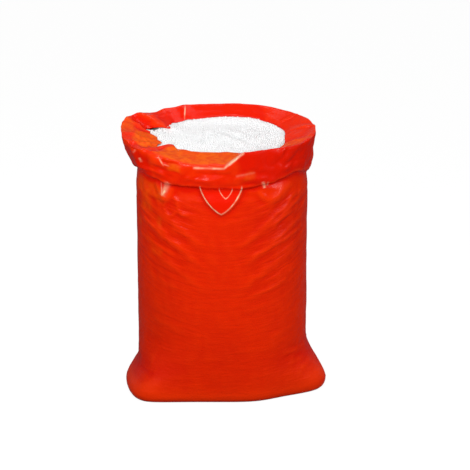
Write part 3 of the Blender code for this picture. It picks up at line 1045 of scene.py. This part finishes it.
def finely_creased(rows):
    """The settled film with its small sharp creases."""
    path = PATH[:, None]
    fine = drag_lines(PLAIN) * wall_share(path) + single_folds(PLAIN)
    stretched = PLAIN * CRUMPLE_STRETCH + FINE_CRUMPLE_SHIFT
    fine += crumple(stretched, *FINE_WALL_CRUMPLE) * wall_share(path)
    fine += crumple(stretched, *FINE_COLLAR_CRUMPLE, octaves=1) * collar_share(path)
    return rows + grid_normals(rows) * fine[..., None]


FILM = finely_creased(SETTLED)
bead_mass.data = mass_mesh(FILM[-1])
print("the film's free edge is at", round(float(FILM[-1, :, 2].mean()), 3), "m on average")

# %% [markdown]
# ## Masks that the finish needs
#
# Where one layer of film stands free of the beads, light passes through it and it looks a lighter
# orange; where it lies double it is deeper, and the same mask paints shade as a deeper red on the
# collar and at the bottom corners. Where it is slack it has no print of beads, and where it is drawn
# tight it has fine wrinkles. Ridges are painted lighter and grooves darker, as painted light and
# shade. These masks are fixed to places on the film, so they are kept on the mesh as attributes.

# %% Patches of single film, and of double film with painted shade
# For each: bearings from and to, path from and to, and strength.
SINGLE_PATCHES = (
    (222, 283, 4.10, 6.4, 1.00),
    (170, 208, 4.60, 6.4, 1.00),
    (158, 186, 3.20, 4.80, 0.60),
    (236, 250, 2.90, 3.80, 0.70),
    (277, 290, 2.35, 2.95, 0.30),
    (190, 232, -0.15, 0.80, 0.34),
    (300, 352, 4.20, 6.4, 0.55),
)
# Patches where the film lies double, and where shade is painted as a deeper red on the collar, which
# the lamps light more, and at the bottom corners; in the same columns.
DOUBLED_AND_SHADED_PATCHES = (
    (178, 352, 0.75, 2.0, 0.9),
    (276, 352, 1.9, 4.3, 0.9),
    (188, 226, 1.0, 3.7, 0.85),
    (226, 276, 1.9, 3.1, 0.45),
    (60, 142, 4.1, 6.4, 0.70),
    # The bottom corners: painted shade, darker towards the bottom.
    (338, 361, -1.20, -0.84, 0.7),
    (-1, 20, -1.20, -0.84, 0.7),
    (162, 204, -1.20, -0.86, 0.6),
)
PATCH_EDGE_BEARING = 4.0
PATCH_EDGE_PATH = 0.25
WANDER_SCALE = 0.045
WANDER_BEARING = 9.0
WANDER_PATH = 0.7
WANDER_SHIFT = 7.0


def wander(shift):
    """Soft random values between about -0.5 and 0.5 for every point of the film."""
    spots = (PLAIN / WANDER_SCALE + shift).reshape(-1, 3)
    values = [0.5 * noise.noise(Vector(spot)) for spot in spots]
    return np.array(values).reshape(PLAIN.shape[:-1])


def patches(table):
    """How much each point lies in the patches of a table, from 0 to 1."""
    path = PATH[:, None] + WANDER_PATH * wander(0.0)
    bearing = BEARINGS[None, :] + WANDER_BEARING * wander(WANDER_SHIFT)
    mask = np.zeros(path.shape)
    for start, end, low, high, strength in table:
        across = smooth((bearing - start) / PATCH_EDGE_BEARING)
        across = across * smooth((end - bearing) / PATCH_EDGE_BEARING)
        along = smooth((path - low) / PATCH_EDGE_PATH) * smooth((high - path) / PATCH_EDGE_PATH)
        mask = np.maximum(mask, strength * across * along)
    return mask


# %% Where the film is drawn tight, and where beads press on it
# Distance from the middle and height where it starts, each with the length over which it grows.
DRAWN_SIDE, DRAWN_SIDE_GROWTH = 0.02, 0.12
DRAWN_HEIGHT, DRAWN_HEIGHT_GROWTH = 0.28, 0.22
DRAWN_END = 0.2
PRESSED_END, PRESSED_FADE = -0.05, 0.5


def drawn_film():
    """How strongly the wall is drawn into fine wrinkles: at its sides, and more towards the top."""
    beside = smooth((np.abs(PLAIN[..., 0]) - DRAWN_SIDE) / DRAWN_SIDE_GROWTH)
    high = smooth((PLAIN[..., 2] - DRAWN_HEIGHT) / DRAWN_HEIGHT_GROWTH)
    return beside * high * (PATH[:, None] < DRAWN_END)


def pressed_film():
    """How firmly beads press on each point, from 0 to 1."""
    slack = np.maximum.reduce([sag_reach(PLAIN, sag) for sag in SAGS[:-1]])
    slack = slack * (PLAIN[..., 1] < 0)
    return (1.0 - smooth((PATH[:, None] - PRESSED_END) / PRESSED_FADE)) * (1.0 - slack)


# %% Ridges and grooves
RIDGE_WINDOW = 4
RIDGE_HEIGHT = 0.0030


def averaged(rows, steps):
    """Each point replaced by the mean of its neighbours up to some steps away."""
    total = np.zeros_like(rows)
    padded = np.pad(rows, ((steps, steps), (0, 0), (0, 0)), mode="edge")
    for down in range(2 * steps + 1):
        for side in range(-steps, steps + 1):
            total += np.roll(padded[down : down + len(rows)], side, axis=1)
    return total / (2 * steps + 1) ** 2


def raised_film():
    """How much each point stands out from the film around it: 1 on a ridge, 0 in a groove."""
    offset = FILM - averaged(FILM, RIDGE_WINDOW)
    height = np.sum(offset * grid_normals(FILM), axis=-1)
    return np.clip(0.5 + 0.5 * height / RIDGE_HEIGHT, 0.0, 1.0)


# %% Build the film
FILM_THICKNESS = 0.0004
FILM_MASKS = {
    "single_film": patches(SINGLE_PATCHES),
    "doubled_and_shaded_film": patches(DOUBLED_AND_SHADED_PATCHES),
    "drawn_film": drawn_film(),
    "pressed_film": pressed_film(),
    "raised_film": raised_film(),
}

film = add_object("film_sack", plain_mesh("film_sack", FILM))
for name, values in FILM_MASKS.items():
    layer = film.data.attributes.new(name, "FLOAT", "POINT")
    layer.data.foreach_set("value", values.reshape(-1).astype(np.float32))
close_weld(film.data)
film_wall = film.modifiers.new("two sides", "SOLIDIFY")
film_wall.thickness = FILM_THICKNESS
film_wall.offset = -1.0
print("film:", len(film.data.polygons), "faces on each side")

# %% [markdown]
# ## The film's finish
#
# Polyethylene film is a smooth, saturated plastic with a soft gloss. Its colour deepens where it lies
# double, and lightens where it is single and light passes through. Shade is painted into the colour
# as a deeper red in grooves, in the furrows of the wrinkles, on the collar and at the bottom corners,
# and light is painted in as a lighter red on ridges and in the pouches. Beads print shallow domes
# through it, the wall has fine wrinkles, and the hard creases have highlights painted on them as
# white lines that also take more gloss. Each of these is a mask, and the masks that are used many
# times, or that are long formulas, are node groups.


# %% More nodes: groups, vectors and textures
def shader_group(name, vectors, floats, outputs):
    """A shader group: its tree, its inputs as Values, and the node that takes its outputs."""
    group = bpy.data.node_groups.new(name, "ShaderNodeTree")
    for labels, kind in ((vectors, "Vector"), (floats, "Float")):
        for label in labels:
            group.interface.new_socket(label, in_out="INPUT", socket_type="NodeSocket" + kind)
    for label in outputs:
        group.interface.new_socket(label, in_out="OUTPUT", socket_type="NodeSocketFloat")
    enter = add_node(group, "NodeGroupInput")
    inputs = [Value(enter.outputs[label]) for label in vectors + floats]
    return group, inputs, add_node(group, "NodeGroupOutput")


def use_group(position, group, output, **values):
    """One output of a group that works on the position."""
    return output_of(
        position.tree, "ShaderNodeGroup", output, node_tree=group, Position=position, **values
    )


def vector_node(operation, first, second, result="Vector"):
    """One output of a Vector Math node on two Values."""
    node = add_node(first.tree, "ShaderNodeVectorMath", operation=operation)
    feed(node.inputs[0], first)
    feed(node.inputs["Scale"] if operation == "SCALE" else node.inputs[1], second)
    return Value(node.outputs[result])


def split_xyz(vector):
    """The three parts of a vector."""
    node = add_node(vector.tree, "ShaderNodeSeparateXYZ", Vector=vector)
    return [Value(socket) for socket in node.outputs]


def noise_at(position, scale, detail=2.0, roughness=0.5):
    """A noise texture, from 0 to 1."""
    sizes = {"Scale": scale, "Detail": detail, "Roughness": roughness}
    return output_of(position.tree, "ShaderNodeTexNoise", "Fac", Vector=position, **sizes)


def bell(distance, width):
    """1 where the distance is 0, falling off over the width."""
    ratio = distance / width
    return math_node("EXPONENT", ratio * ratio * -1.0)


# %% Group: the print of beads
DOME_SMOOTHNESS = 0.3


def bead_print_group():
    """Shallow domes one bead apart, as a height from 0 to 1."""
    group, (position, diameter), leave = shader_group(
        "bead_print", ("Position",), ("Bead diameter",), ("Height",)
    )
    domes = add_node(group, "ShaderNodeTexVoronoi", feature="SMOOTH_F1", Vector=position)
    set_node(domes, Smoothness=DOME_SMOOTHNESS, Scale=1.0 / diameter)
    distance = Value(domes.outputs["Distance"])
    set_node(leave, Height=1.0 - distance * distance)
    return group


BEAD_PRINT = bead_print_group()


def bead_print(position):
    """The print of beads at their real size."""
    return use_group(position, BEAD_PRINT, "Height", Bead_diameter=BEAD_DIAMETER)


# %% Group: fine wrinkles of the wall
WRINKLES_ACROSS, WRINKLES_ALONG = 58.0, 9.0
WRINKLE_DETAIL, WRINKLE_ROUGHNESS = 2.5, 0.6


def wrinkle_group():
    """Fine wrinkles that hang in curves between the shoulders, as a height from 0 to 1."""
    group, (position, across, along), leave = shader_group(
        "fine_wrinkles", ("Position",), ("Across", "Along"), ("Height",)
    )
    x, y, z = split_xyz(position)
    high = math_node("MINIMUM", z / HANGING_HEIGHT, 1.0)
    level = z - x * x * HANGING_CURVE * high
    stretched = add_node(group, "ShaderNodeCombineXYZ", X=x * along, Y=y * along, Z=level * across)
    place = Value(stretched.outputs["Vector"])
    waves = noise_at(place, 1.0, WRINKLE_DETAIL, WRINKLE_ROUGHNESS)
    sharp = math_node("ABSOLUTE", waves - 0.5) * 4.0
    set_node(leave, Height=math_node("MINIMUM", sharp, 1.0))
    return group


# %% Group: a painted highlight along one hard crease
CREASE_TAPER = 0.4


def crease_highlight_group():
    """A straight crease between two points that fades at its ends, as a mask from 0 to 1, where a
    highlight is painted.

    Weights squash the space, so that a crease may be seen as lying in one plane.
    """
    group, (position, start, end, weights, width), leave = shader_group(
        "crease_highlight", ("Position", "Start", "End", "Weights"), ("Width",), ("Line",)
    )
    place = vector_node("MULTIPLY", vector_node("SUBTRACT", position, start), weights)
    span = vector_node("MULTIPLY", vector_node("SUBTRACT", end, start), weights)
    along = vector_node("DOT_PRODUCT", place, span, "Value")
    whole = vector_node("DOT_PRODUCT", span, span, "Value")
    share = math_node("MAXIMUM", math_node("MINIMUM", along / whole, 1.0), 0.0)
    off = vector_node("DISTANCE", place, vector_node("SCALE", span, share), "Value")
    taper = (share * (1.0 - share) * 4.0) ** CREASE_TAPER
    set_node(leave, Line=bell(off, width) * taper)
    return group


# %% Group: the rim of a pouch
POUCH_EDGE = 0.16
POUCH_TOP_FADE = (-0.012, 0.004)
POUCH_FRONT = -0.10
RIM_PLACE = 0.06
POUCH_SIZES = ("Middle", "Top", "Half width", "Drop", "Width")


def pouch_group():
    """The inside of a pouch on the front, where light is painted, and the hard fold along its rim,
    where a highlight is painted, as masks.
    """
    group, (position, *sizes), leave = shader_group(
        "pouch", ("Position",), POUCH_SIZES, ("Inside", "Rim")
    )
    middle, top, half_width, drop, width = sizes
    x, y, z = split_xyz(position)
    sideways = math_node("ABSOLUTE", x - middle) / half_width
    below = top - z
    fade = ranged(below, *POUCH_TOP_FADE, curve="SMOOTHSTEP")
    below = math_node("MAXIMUM", below, 0.0) / drop
    outline = sideways**SAG_POINTEDNESS + below**SAG_POINTEDNESS
    inner = 1.0 - outline ** (1.0 / SAG_POINTEDNESS)
    visible = math_node("LESS_THAN", y, POUCH_FRONT) * fade
    inside = ranged(inner, 0.0, POUCH_EDGE, curve="SMOOTHSTEP") * visible
    set_node(leave, Inside=inside, Rim=bell((inner - RIM_PLACE) * drop, width) * visible)
    return group


# %% Where highlights are painted on the hard creases
# For each pouch: middle x, top z, half width, drop, width of the rim and the strength of the highlight
# painted along its fold.
HIGHLIGHT_POUCH_RIMS = (
    (-0.002, SAG_TOP + 0.010, 0.064, 0.0838, 0.0023, 1.0),
    (0.012, SAG_TOP + 0.006, 0.020, 0.0290, 0.0016, 0.7),
)
# For each crease, along which a highlight is painted: start, end, the weights that flatten space, width
# and strength.
ON_WALL = (1.0, 0.15, 1.0)
ON_TOP = (1.0, 1.0, 0.2)
HIGHLIGHT_CREASES = (
    ((-0.110, 0.176, 0.815), (-0.112, 0.138, 0.785), ON_TOP, 0.0016, 0.8),
    ((-0.083, -0.193, 0.751), (0.010, -0.196, 0.751), ON_WALL, 0.0030, 0.7),
    ((0.004, -0.196, 0.749), (0.066, -0.188, 0.797), ON_WALL, 0.0028, 0.95),
    ((0.040, -0.196, 0.726), (0.098, -0.190, 0.735), ON_WALL, 0.0034, 0.14),
    ((-0.173, -0.165, 0.754), (-0.150, -0.168, 0.749), ON_WALL, 0.0018, 0.30),
    ((-0.183, -0.147, 0.776), (-0.167, -0.165, 0.747), ON_WALL, 0.0020, 0.6),
    ((-0.249, -0.113, 0.780), (-0.259, -0.110, 0.768), ON_WALL, 0.0026, 0.32),
    ((-0.239, -0.125, 0.758), (-0.231, -0.130, 0.745), ON_WALL, 0.0036, 0.42),
    ((-0.154, -0.157, 0.700), (-0.172, -0.154, 0.650), ON_WALL, 0.0070, 0.55),
    ((-0.175, -0.153, 0.690), (-0.173, -0.153, 0.650), ON_WALL, 0.0018, 0.80),
    ((-0.171, -0.155, 0.652), (-0.163, -0.158, 0.672), ON_WALL, 0.0042, 0.95),
    ((-0.158, -0.157, 0.700), (-0.151, -0.158, 0.692), ON_WALL, 0.0024, 0.80),
    ((0.120, -0.165, 0.706), (0.1240, -0.165, 0.680), ON_WALL, 0.0038, 1.0),
    ((0.134, -0.163, 0.704), (0.132, -0.163, 0.686), ON_WALL, 0.0024, 0.35),
)


# %% Colours of the film, and how a finish is mixed
FILM_DEEP = (0.860, 0.022, 0.000, 1.0)
# Dark tone of the clouds, and painted shade in the furrows of the wrinkles.
FILM_DARK = (0.660, 0.010, 0.000, 1.0)
# Painted shade for grooves and painted light for ridges.
FILM_GROOVE_PAINTED_SHADE = (0.720, 0.006, 0.000, 1.0)
FILM_RIDGE_PAINTED_LIGHT = (0.940, 0.036, 0.001, 1.0)
# Double film, and painted shade on the collar and at the bottom corners.
FILM_DOUBLED_AND_SHADED = (0.740, 0.007, 0.000, 1.0)
# Slack film in the pouches: a redder tone, brightened as painted light on their bulge.
FILM_SLACK_PAINTED_LIGHT = (0.880, 0.010, 0.000, 1.0)
FILM_LIGHT = (0.890, 0.112, 0.000, 1.0)
FILM_AMBER = (0.820, 0.064, 0.000, 1.0)
# A painted highlight: the white of the hard creases where they catch the light.
FILM_PAINTED_HIGHLIGHT = (1.000, 0.690, 0.430, 1.0)
# Scale and detail of its clouds, of the web in single film and of the breaks in a painted highlight.
FILM_NOISES = ((9.0, 5.0), (70.0, 3.0), (55.0, 1.0))

# How much lighter ridges and darker grooves are painted, as painted light and shade, how much coat
# lies on ridges and on hard creases, and what the print of beads, the web and the hard creases add
# to the height.
RIDGE_CONTRAST = 1.6
RIDGE_COAT, LINE_COAT = 0.04, 0.35
PRINT_HEIGHT, WEB_HEIGHT, LINE_HEIGHT = 0.35, 0.5, 0.10
FILM_BUMP = 0.001

# A colour Mix node's inputs and output, which share their names with those for other data.
MIX_SHARE, MIX_BELOW, MIX_ABOVE, MIX_RESULT = 0, 6, 7, 2


def mix_colour(below, above, mask):
    """One colour over another by a mask; the colours may be Values or plain."""
    mix = add_node(mask.tree, "ShaderNodeMix", data_type="RGBA")
    for index, value in ((MIX_SHARE, mask), (MIX_BELOW, below), (MIX_ABOVE, above)):
        feed(mix.inputs[index], value)
    return Value(mix.outputs[MIX_RESULT])


def bumped(height, strength, distance, **values):
    """The shading direction of a surface that has this height on it."""
    bump = {"Height": height, "Strength": strength, "Distance": distance}
    return output_of(height.tree, "ShaderNodeBump", "Normal", **bump, **values)


def fold_highlight_masks(position):
    """The masks of all rims and creases together: inside of pouches, where light is painted, and lines
    where highlights are painted.
    """
    pouch, crease = pouch_group(), crease_highlight_group()
    inside, lines = 0.0, 0.0
    for *sizes, strength in HIGHLIGHT_POUCH_RIMS:
        node = add_node(position.tree, "ShaderNodeGroup", node_tree=pouch, Position=position)
        set_node(node, **dict(zip(POUCH_SIZES, sizes)))
        lines = math_node("MAXIMUM", lines, Value(node.outputs["Rim"]) * strength)
        inside = math_node("MAXIMUM", inside, Value(node.outputs["Inside"]))
    for start, end, weights, width, strength in HIGHLIGHT_CREASES:
        places = {"Start": start, "End": end, "Weights": weights, "Width": width}
        line = use_group(position, crease, "Line", **places)
        lines = math_node("MAXIMUM", lines, line * strength)
    return inside, lines


# %% Material: orange film
def film_material():
    """Glossy orange-red film, lighter where it lies single."""
    made, tree, shader = new_material("orange_film", Specular_IOR_Level=0.09, Coat_Roughness=0.10)
    position = output_of(tree, "ShaderNodeTexCoord", "Object")
    single, doubled_and_shaded, drawn, pressed, raised = (
        output_of(tree, "ShaderNodeAttribute", "Fac", attribute_name=name) for name in FILM_MASKS
    )
    clouds, web, flecks = (noise_at(position, *sizes) for sizes in FILM_NOISES)
    sizes = {"Across": WRINKLES_ACROSS, "Along": WRINKLES_ALONG}
    wrinkles = use_group(position, wrinkle_group(), "Height", **sizes)
    inside, lines = fold_highlight_masks(position)
    ridge, groove = (raised - 0.5) * RIDGE_CONTRAST, (0.5 - raised) * RIDGE_CONTRAST
    # Painted shade in the furrows of the fine wrinkles.
    furrow_shade = (1.0 - wrinkles) ** 3.0 * (drawn * 0.5 + 0.25)
    light = mix_colour(FILM_LIGHT, FILM_AMBER, ranged(web, 0.40, 0.62))
    colour = mix_colour(FILM_DEEP, FILM_DARK, ranged(clouds, 0.35, 0.75, 0.0, 0.35))
    layers = (
        (FILM_DARK, furrow_shade * pressed),
        # Painted shade in grooves and painted light on ridges, by how far the film stands out.
        (FILM_GROOVE_PAINTED_SHADE, math_node("MAXIMUM", groove, 0.0)),
        (FILM_RIDGE_PAINTED_LIGHT, math_node("MAXIMUM", ridge, 0.0)),
        # Double film, and painted shade on the collar and at the bottom corners.
        (FILM_DOUBLED_AND_SHADED, doubled_and_shaded),
        # Slack film in the pouches, painted lighter as light on their bulge.
        (FILM_SLACK_PAINTED_LIGHT, inside),
        (light, single),
        # Painted highlights along the hard creases and the pouch rims.
        (FILM_PAINTED_HIGHLIGHT, lines * ranged(flecks, 0.35, 0.60, 0.35)),
    )
    for above, mask in layers:
        colour = mix_colour(colour, above, mask)
    gloss = math_node("MAXIMUM", ridge + 0.4, 0.0) * (1.0 - pressed) * RIDGE_COAT
    gloss = gloss * math_node("MAXIMUM", 1.0 - single, 0.0) + lines * LINE_COAT
    height = bead_print(position) * pressed * PRINT_HEIGHT
    height = height + wrinkles * (pressed * (drawn * 0.3 + 0.5))
    height = height + web * WEB_HEIGHT + lines * LINE_HEIGHT
    set_node(
        shader,
        Base_Color=colour,
        Roughness=pressed * 0.08 + 0.10 + clouds * 0.30 + single * 0.30,
        Coat_Weight=gloss,
        Normal=bumped(height, 1.0, FILM_BUMP),
    )
    return made


film.data.materials.append(film_material())
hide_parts("film_bag")
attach(film, "root")

# %% [markdown]
# ## The beads in the mouth
#
# The layer that shows is made by Geometry Nodes: points spread over the heap at no less than about
# a bead's distance, a small ball on each, with a little variety in size. The heap's surface is
# first cut out where the mouth is open, so that no bead is spent under the film.

# %% The surface that the top layer lies on
# How far the sheet may reach, its cells' size, how many cells it goes in under the film, the least
# height of the heap, and a height that stands for open sky.
BED_REACH_X, BED_REACH_Y = 0.215, 0.165
BED_STEP = 0.004
BED_MARGIN = 3
BED_LOWEST = 0.70
NO_FILM_ABOVE = 2.0


def spread(mask, steps):
    """The mask grown by some cells each way."""
    for _ in range(steps):
        grown = mask.copy()
        grown[1:] |= mask[:-1]
        grown[:-1] |= mask[1:]
        grown[:, 1:] |= mask[:, :-1]
        grown[:, :-1] |= mask[:, 1:]
        mask = grown
    return mask


def mouth_bed(film_tree, mass_tree):
    """A sheet over the heap where the mouth is open, and a little way in under the film."""
    xs = np.arange(-BED_REACH_X, BED_REACH_X, BED_STEP)
    ys = np.arange(-BED_REACH_Y, BED_REACH_Y, BED_STEP)
    heights = np.zeros((len(ys), len(xs)))
    room = np.zeros(heights.shape)
    for r, y in enumerate(ys):
        for c, x in enumerate(xs):
            bed = mass_tree.ray_cast(Vector((x, y, 1.0)), Vector((0.0, 0.0, -1.0)))[0]
            film_above = film_tree.ray_cast(Vector((x, y, BED_LOWEST)), Vector((0.0, 0.0, 1.0)))[0]
            heights[r, c] = bed.z if bed else 0.0
            room[r, c] = (film_above.z if film_above else NO_FILM_ABOVE) - heights[r, c]
    on_heap = heights > BED_LOWEST
    inside = spread(on_heap & (room > 1.0), BED_MARGIN) & on_heap & (room > 0.9 * BEAD_DIAMETER)
    index = np.arange(heights.size).reshape(heights.shape)
    corners = (index[:-1, :-1], index[:-1, 1:], index[1:, 1:], index[1:, :-1])
    kept = inside[:-1, :-1] & inside[:-1, 1:] & inside[1:, 1:] & inside[1:, :-1]
    faces = np.stack(corners, axis=-1)[kept]
    grid_x, grid_y = np.meshgrid(xs, ys)
    points = np.stack([grid_x, grid_y, heights], axis=-1).reshape(-1, 3)
    mesh = bpy.data.meshes.new("mouth_bed")
    mesh.from_pydata(points.tolist(), [], faces.tolist())
    return mesh


bed = add_object("mouth_bed", mouth_bed(tree_of(film), tree_of(bead_mass)))
print("the mouth is open over", round(len(bed.data.polygons) * BED_STEP**2 * 1e4), "square cm")

# %% Material: white foam beads
BEAD_GREY = (0.85, 0.86, 0.87, 1.0)
BEAD_WHITE = (0.93, 0.93, 0.93, 1.0)
BEAD_CELLS = 1400.0


def bead_material(name, print_height):
    """Matt white foam with a skin of small cells; a mass of beads also has the beads' domes."""
    made, tree, shader = new_material(name)
    position = output_of(tree, "ShaderNodeTexCoord", "Object")
    texture = "ShaderNodeTexVoronoi"
    cells = output_of(tree, texture, "Distance", Vector=position, Scale=BEAD_CELLS)
    skin = bumped(cells, 0.25, 0.0002)
    set_node(
        shader,
        Base_Color=mix_colour(BEAD_GREY, BEAD_WHITE, noise_at(position, 160.0)),
        Roughness=ranged(cells, 0.0, 1.0, 0.55, 0.75),
        Normal=bumped(bead_print(position), 1.0, print_height, Normal=skin),
    )
    return made


WHITE_BEADS = bead_material("white_beads", 0.0)
bead_mass.data.materials.append(bead_material("white_mass", 0.5 * BEAD_DIAMETER))
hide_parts("bead_fill")
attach(bead_mass, "root")

# %% Geometry nodes: a layer of beads
LAYER_INPUTS = {
    "Geometry": "Geometry",
    "Bead diameter": "Float",
    "Least distance": "Float",
    "Seed": "Int",
}
LAYER_DENSITY = 90000.0
LEAST_SIZE, MOST_SIZE = 0.84, 1.08
FULL_TURN = (6.28, 6.28, 6.28)


def bead_layer_tree(finish):
    """Balls spread over a surface at no less than a set distance."""
    tree = bpy.data.node_groups.new("bead_layer", "GeometryNodeTree")
    for label, kind in LAYER_INPUTS.items():
        tree.interface.new_socket(label, in_out="INPUT", socket_type="NodeSocket" + kind)
    tree.interface.new_socket("Geometry", in_out="OUTPUT", socket_type="NodeSocketGeometry")
    enter = add_node(tree, "NodeGroupInput")
    surface, diameter, distance, seed = (Value(enter.outputs[label]) for label in LAYER_INPUTS)
    spots = add_node(tree, "GeometryNodeDistributePointsOnFaces", distribute_method="POISSON")
    set_node(spots, Mesh=surface, Distance_Min=distance, Density_Max=LAYER_DENSITY, Seed=seed)
    ball = add_node(tree, "GeometryNodeMeshUVSphere", Segments=8, Rings=5, Radius=diameter * 0.5)
    size = add_node(tree, "FunctionNodeRandomValue", data_type="FLOAT", Seed=seed)
    size.inputs[2].default_value, size.inputs[3].default_value = LEAST_SIZE, MOST_SIZE
    turn = add_node(tree, "FunctionNodeRandomValue", data_type="FLOAT_VECTOR")
    turn.inputs[1].default_value = FULL_TURN
    place = add_node(tree, "GeometryNodeInstanceOnPoints")
    layer = {"Points": spots.outputs["Points"], "Instance": ball.outputs["Mesh"]}
    layer |= {"Rotation": turn.outputs["Value"], "Scale": size.outputs[1]}
    set_node(place, **{label: Value(socket) for label, socket in layer.items()})
    beads = Value(place.outputs["Instances"])
    for kind in ("RealizeInstances", "SetShadeSmooth"):
        beads = output_of(tree, "GeometryNode" + kind, "Geometry", Geometry=beads)
    painted = add_node(tree, "GeometryNodeSetMaterial", Geometry=beads, Material=finish)
    add_node(tree, "NodeGroupOutput", Geometry=Value(painted.outputs["Geometry"]))
    return tree


# %% Make the top layer
LAYER_SIZES = {"Bead diameter": BEAD_DIAMETER, "Least distance": 0.0049, "Seed": 4}


def grown(source, tree, name, inputs):
    """A plain mesh of what the node tree makes of an object, which is then removed."""
    modifier = source.modifiers.new("grow", "NODES")
    modifier.node_group = tree
    for item in tree.interface.items_tree:
        if item.in_out == "INPUT" and item.name in inputs:
            modifier[item.identifier] = inputs[item.name]
    bpy.context.view_layer.update()
    evaluated = source.evaluated_get(bpy.context.evaluated_depsgraph_get())
    mesh = bpy.data.meshes.new_from_object(evaluated)
    bpy.data.objects.remove(source)
    return add_object(name, mesh)


top_beads = grown(bed, bead_layer_tree(WHITE_BEADS), "top_beads", LAYER_SIZES)
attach(top_beads, "root")
top_beads.data.calc_loop_triangles()
print("top layer:", len(top_beads.data.loop_triangles), "triangles")

# %% [markdown]
# ## The loose beads
#
# The frame holds a few beads that lie on top of the others. Each keeps its place and gets the same
# finish on a rounder, more finely divided ball.

# %% Replace the loose beads
loose_names = sorted(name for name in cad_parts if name.startswith("loose_bead"))
balls = bmesh.new()
for name in loose_names:
    low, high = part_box(name)
    made = bmesh.ops.create_icosphere(balls, subdivisions=2, radius=BEAD_DIAMETER / 2)
    bmesh.ops.translate(balls, verts=made["verts"], vec=(low + high) / 2)
loose_mesh = bpy.data.meshes.new("loose_beads")
balls.to_mesh(loose_mesh)
balls.free()
loose_mesh.shade_smooth()
loose_beads = add_object("loose_beads", loose_mesh)
loose_beads.data.materials.append(WHITE_BEADS)
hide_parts(*loose_names)
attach(loose_beads, "root")
print(len(loose_names), "loose beads")

# %% [markdown]
#
# Cut open along one side and laid flat, the film is a sheet as wide as the tube's girth. It is
# gathered here, and it rests on the beads.

# %% The size of what is drawn
low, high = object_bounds()
print("visual box", [round(v, 3) for v in (high - low)], "m")
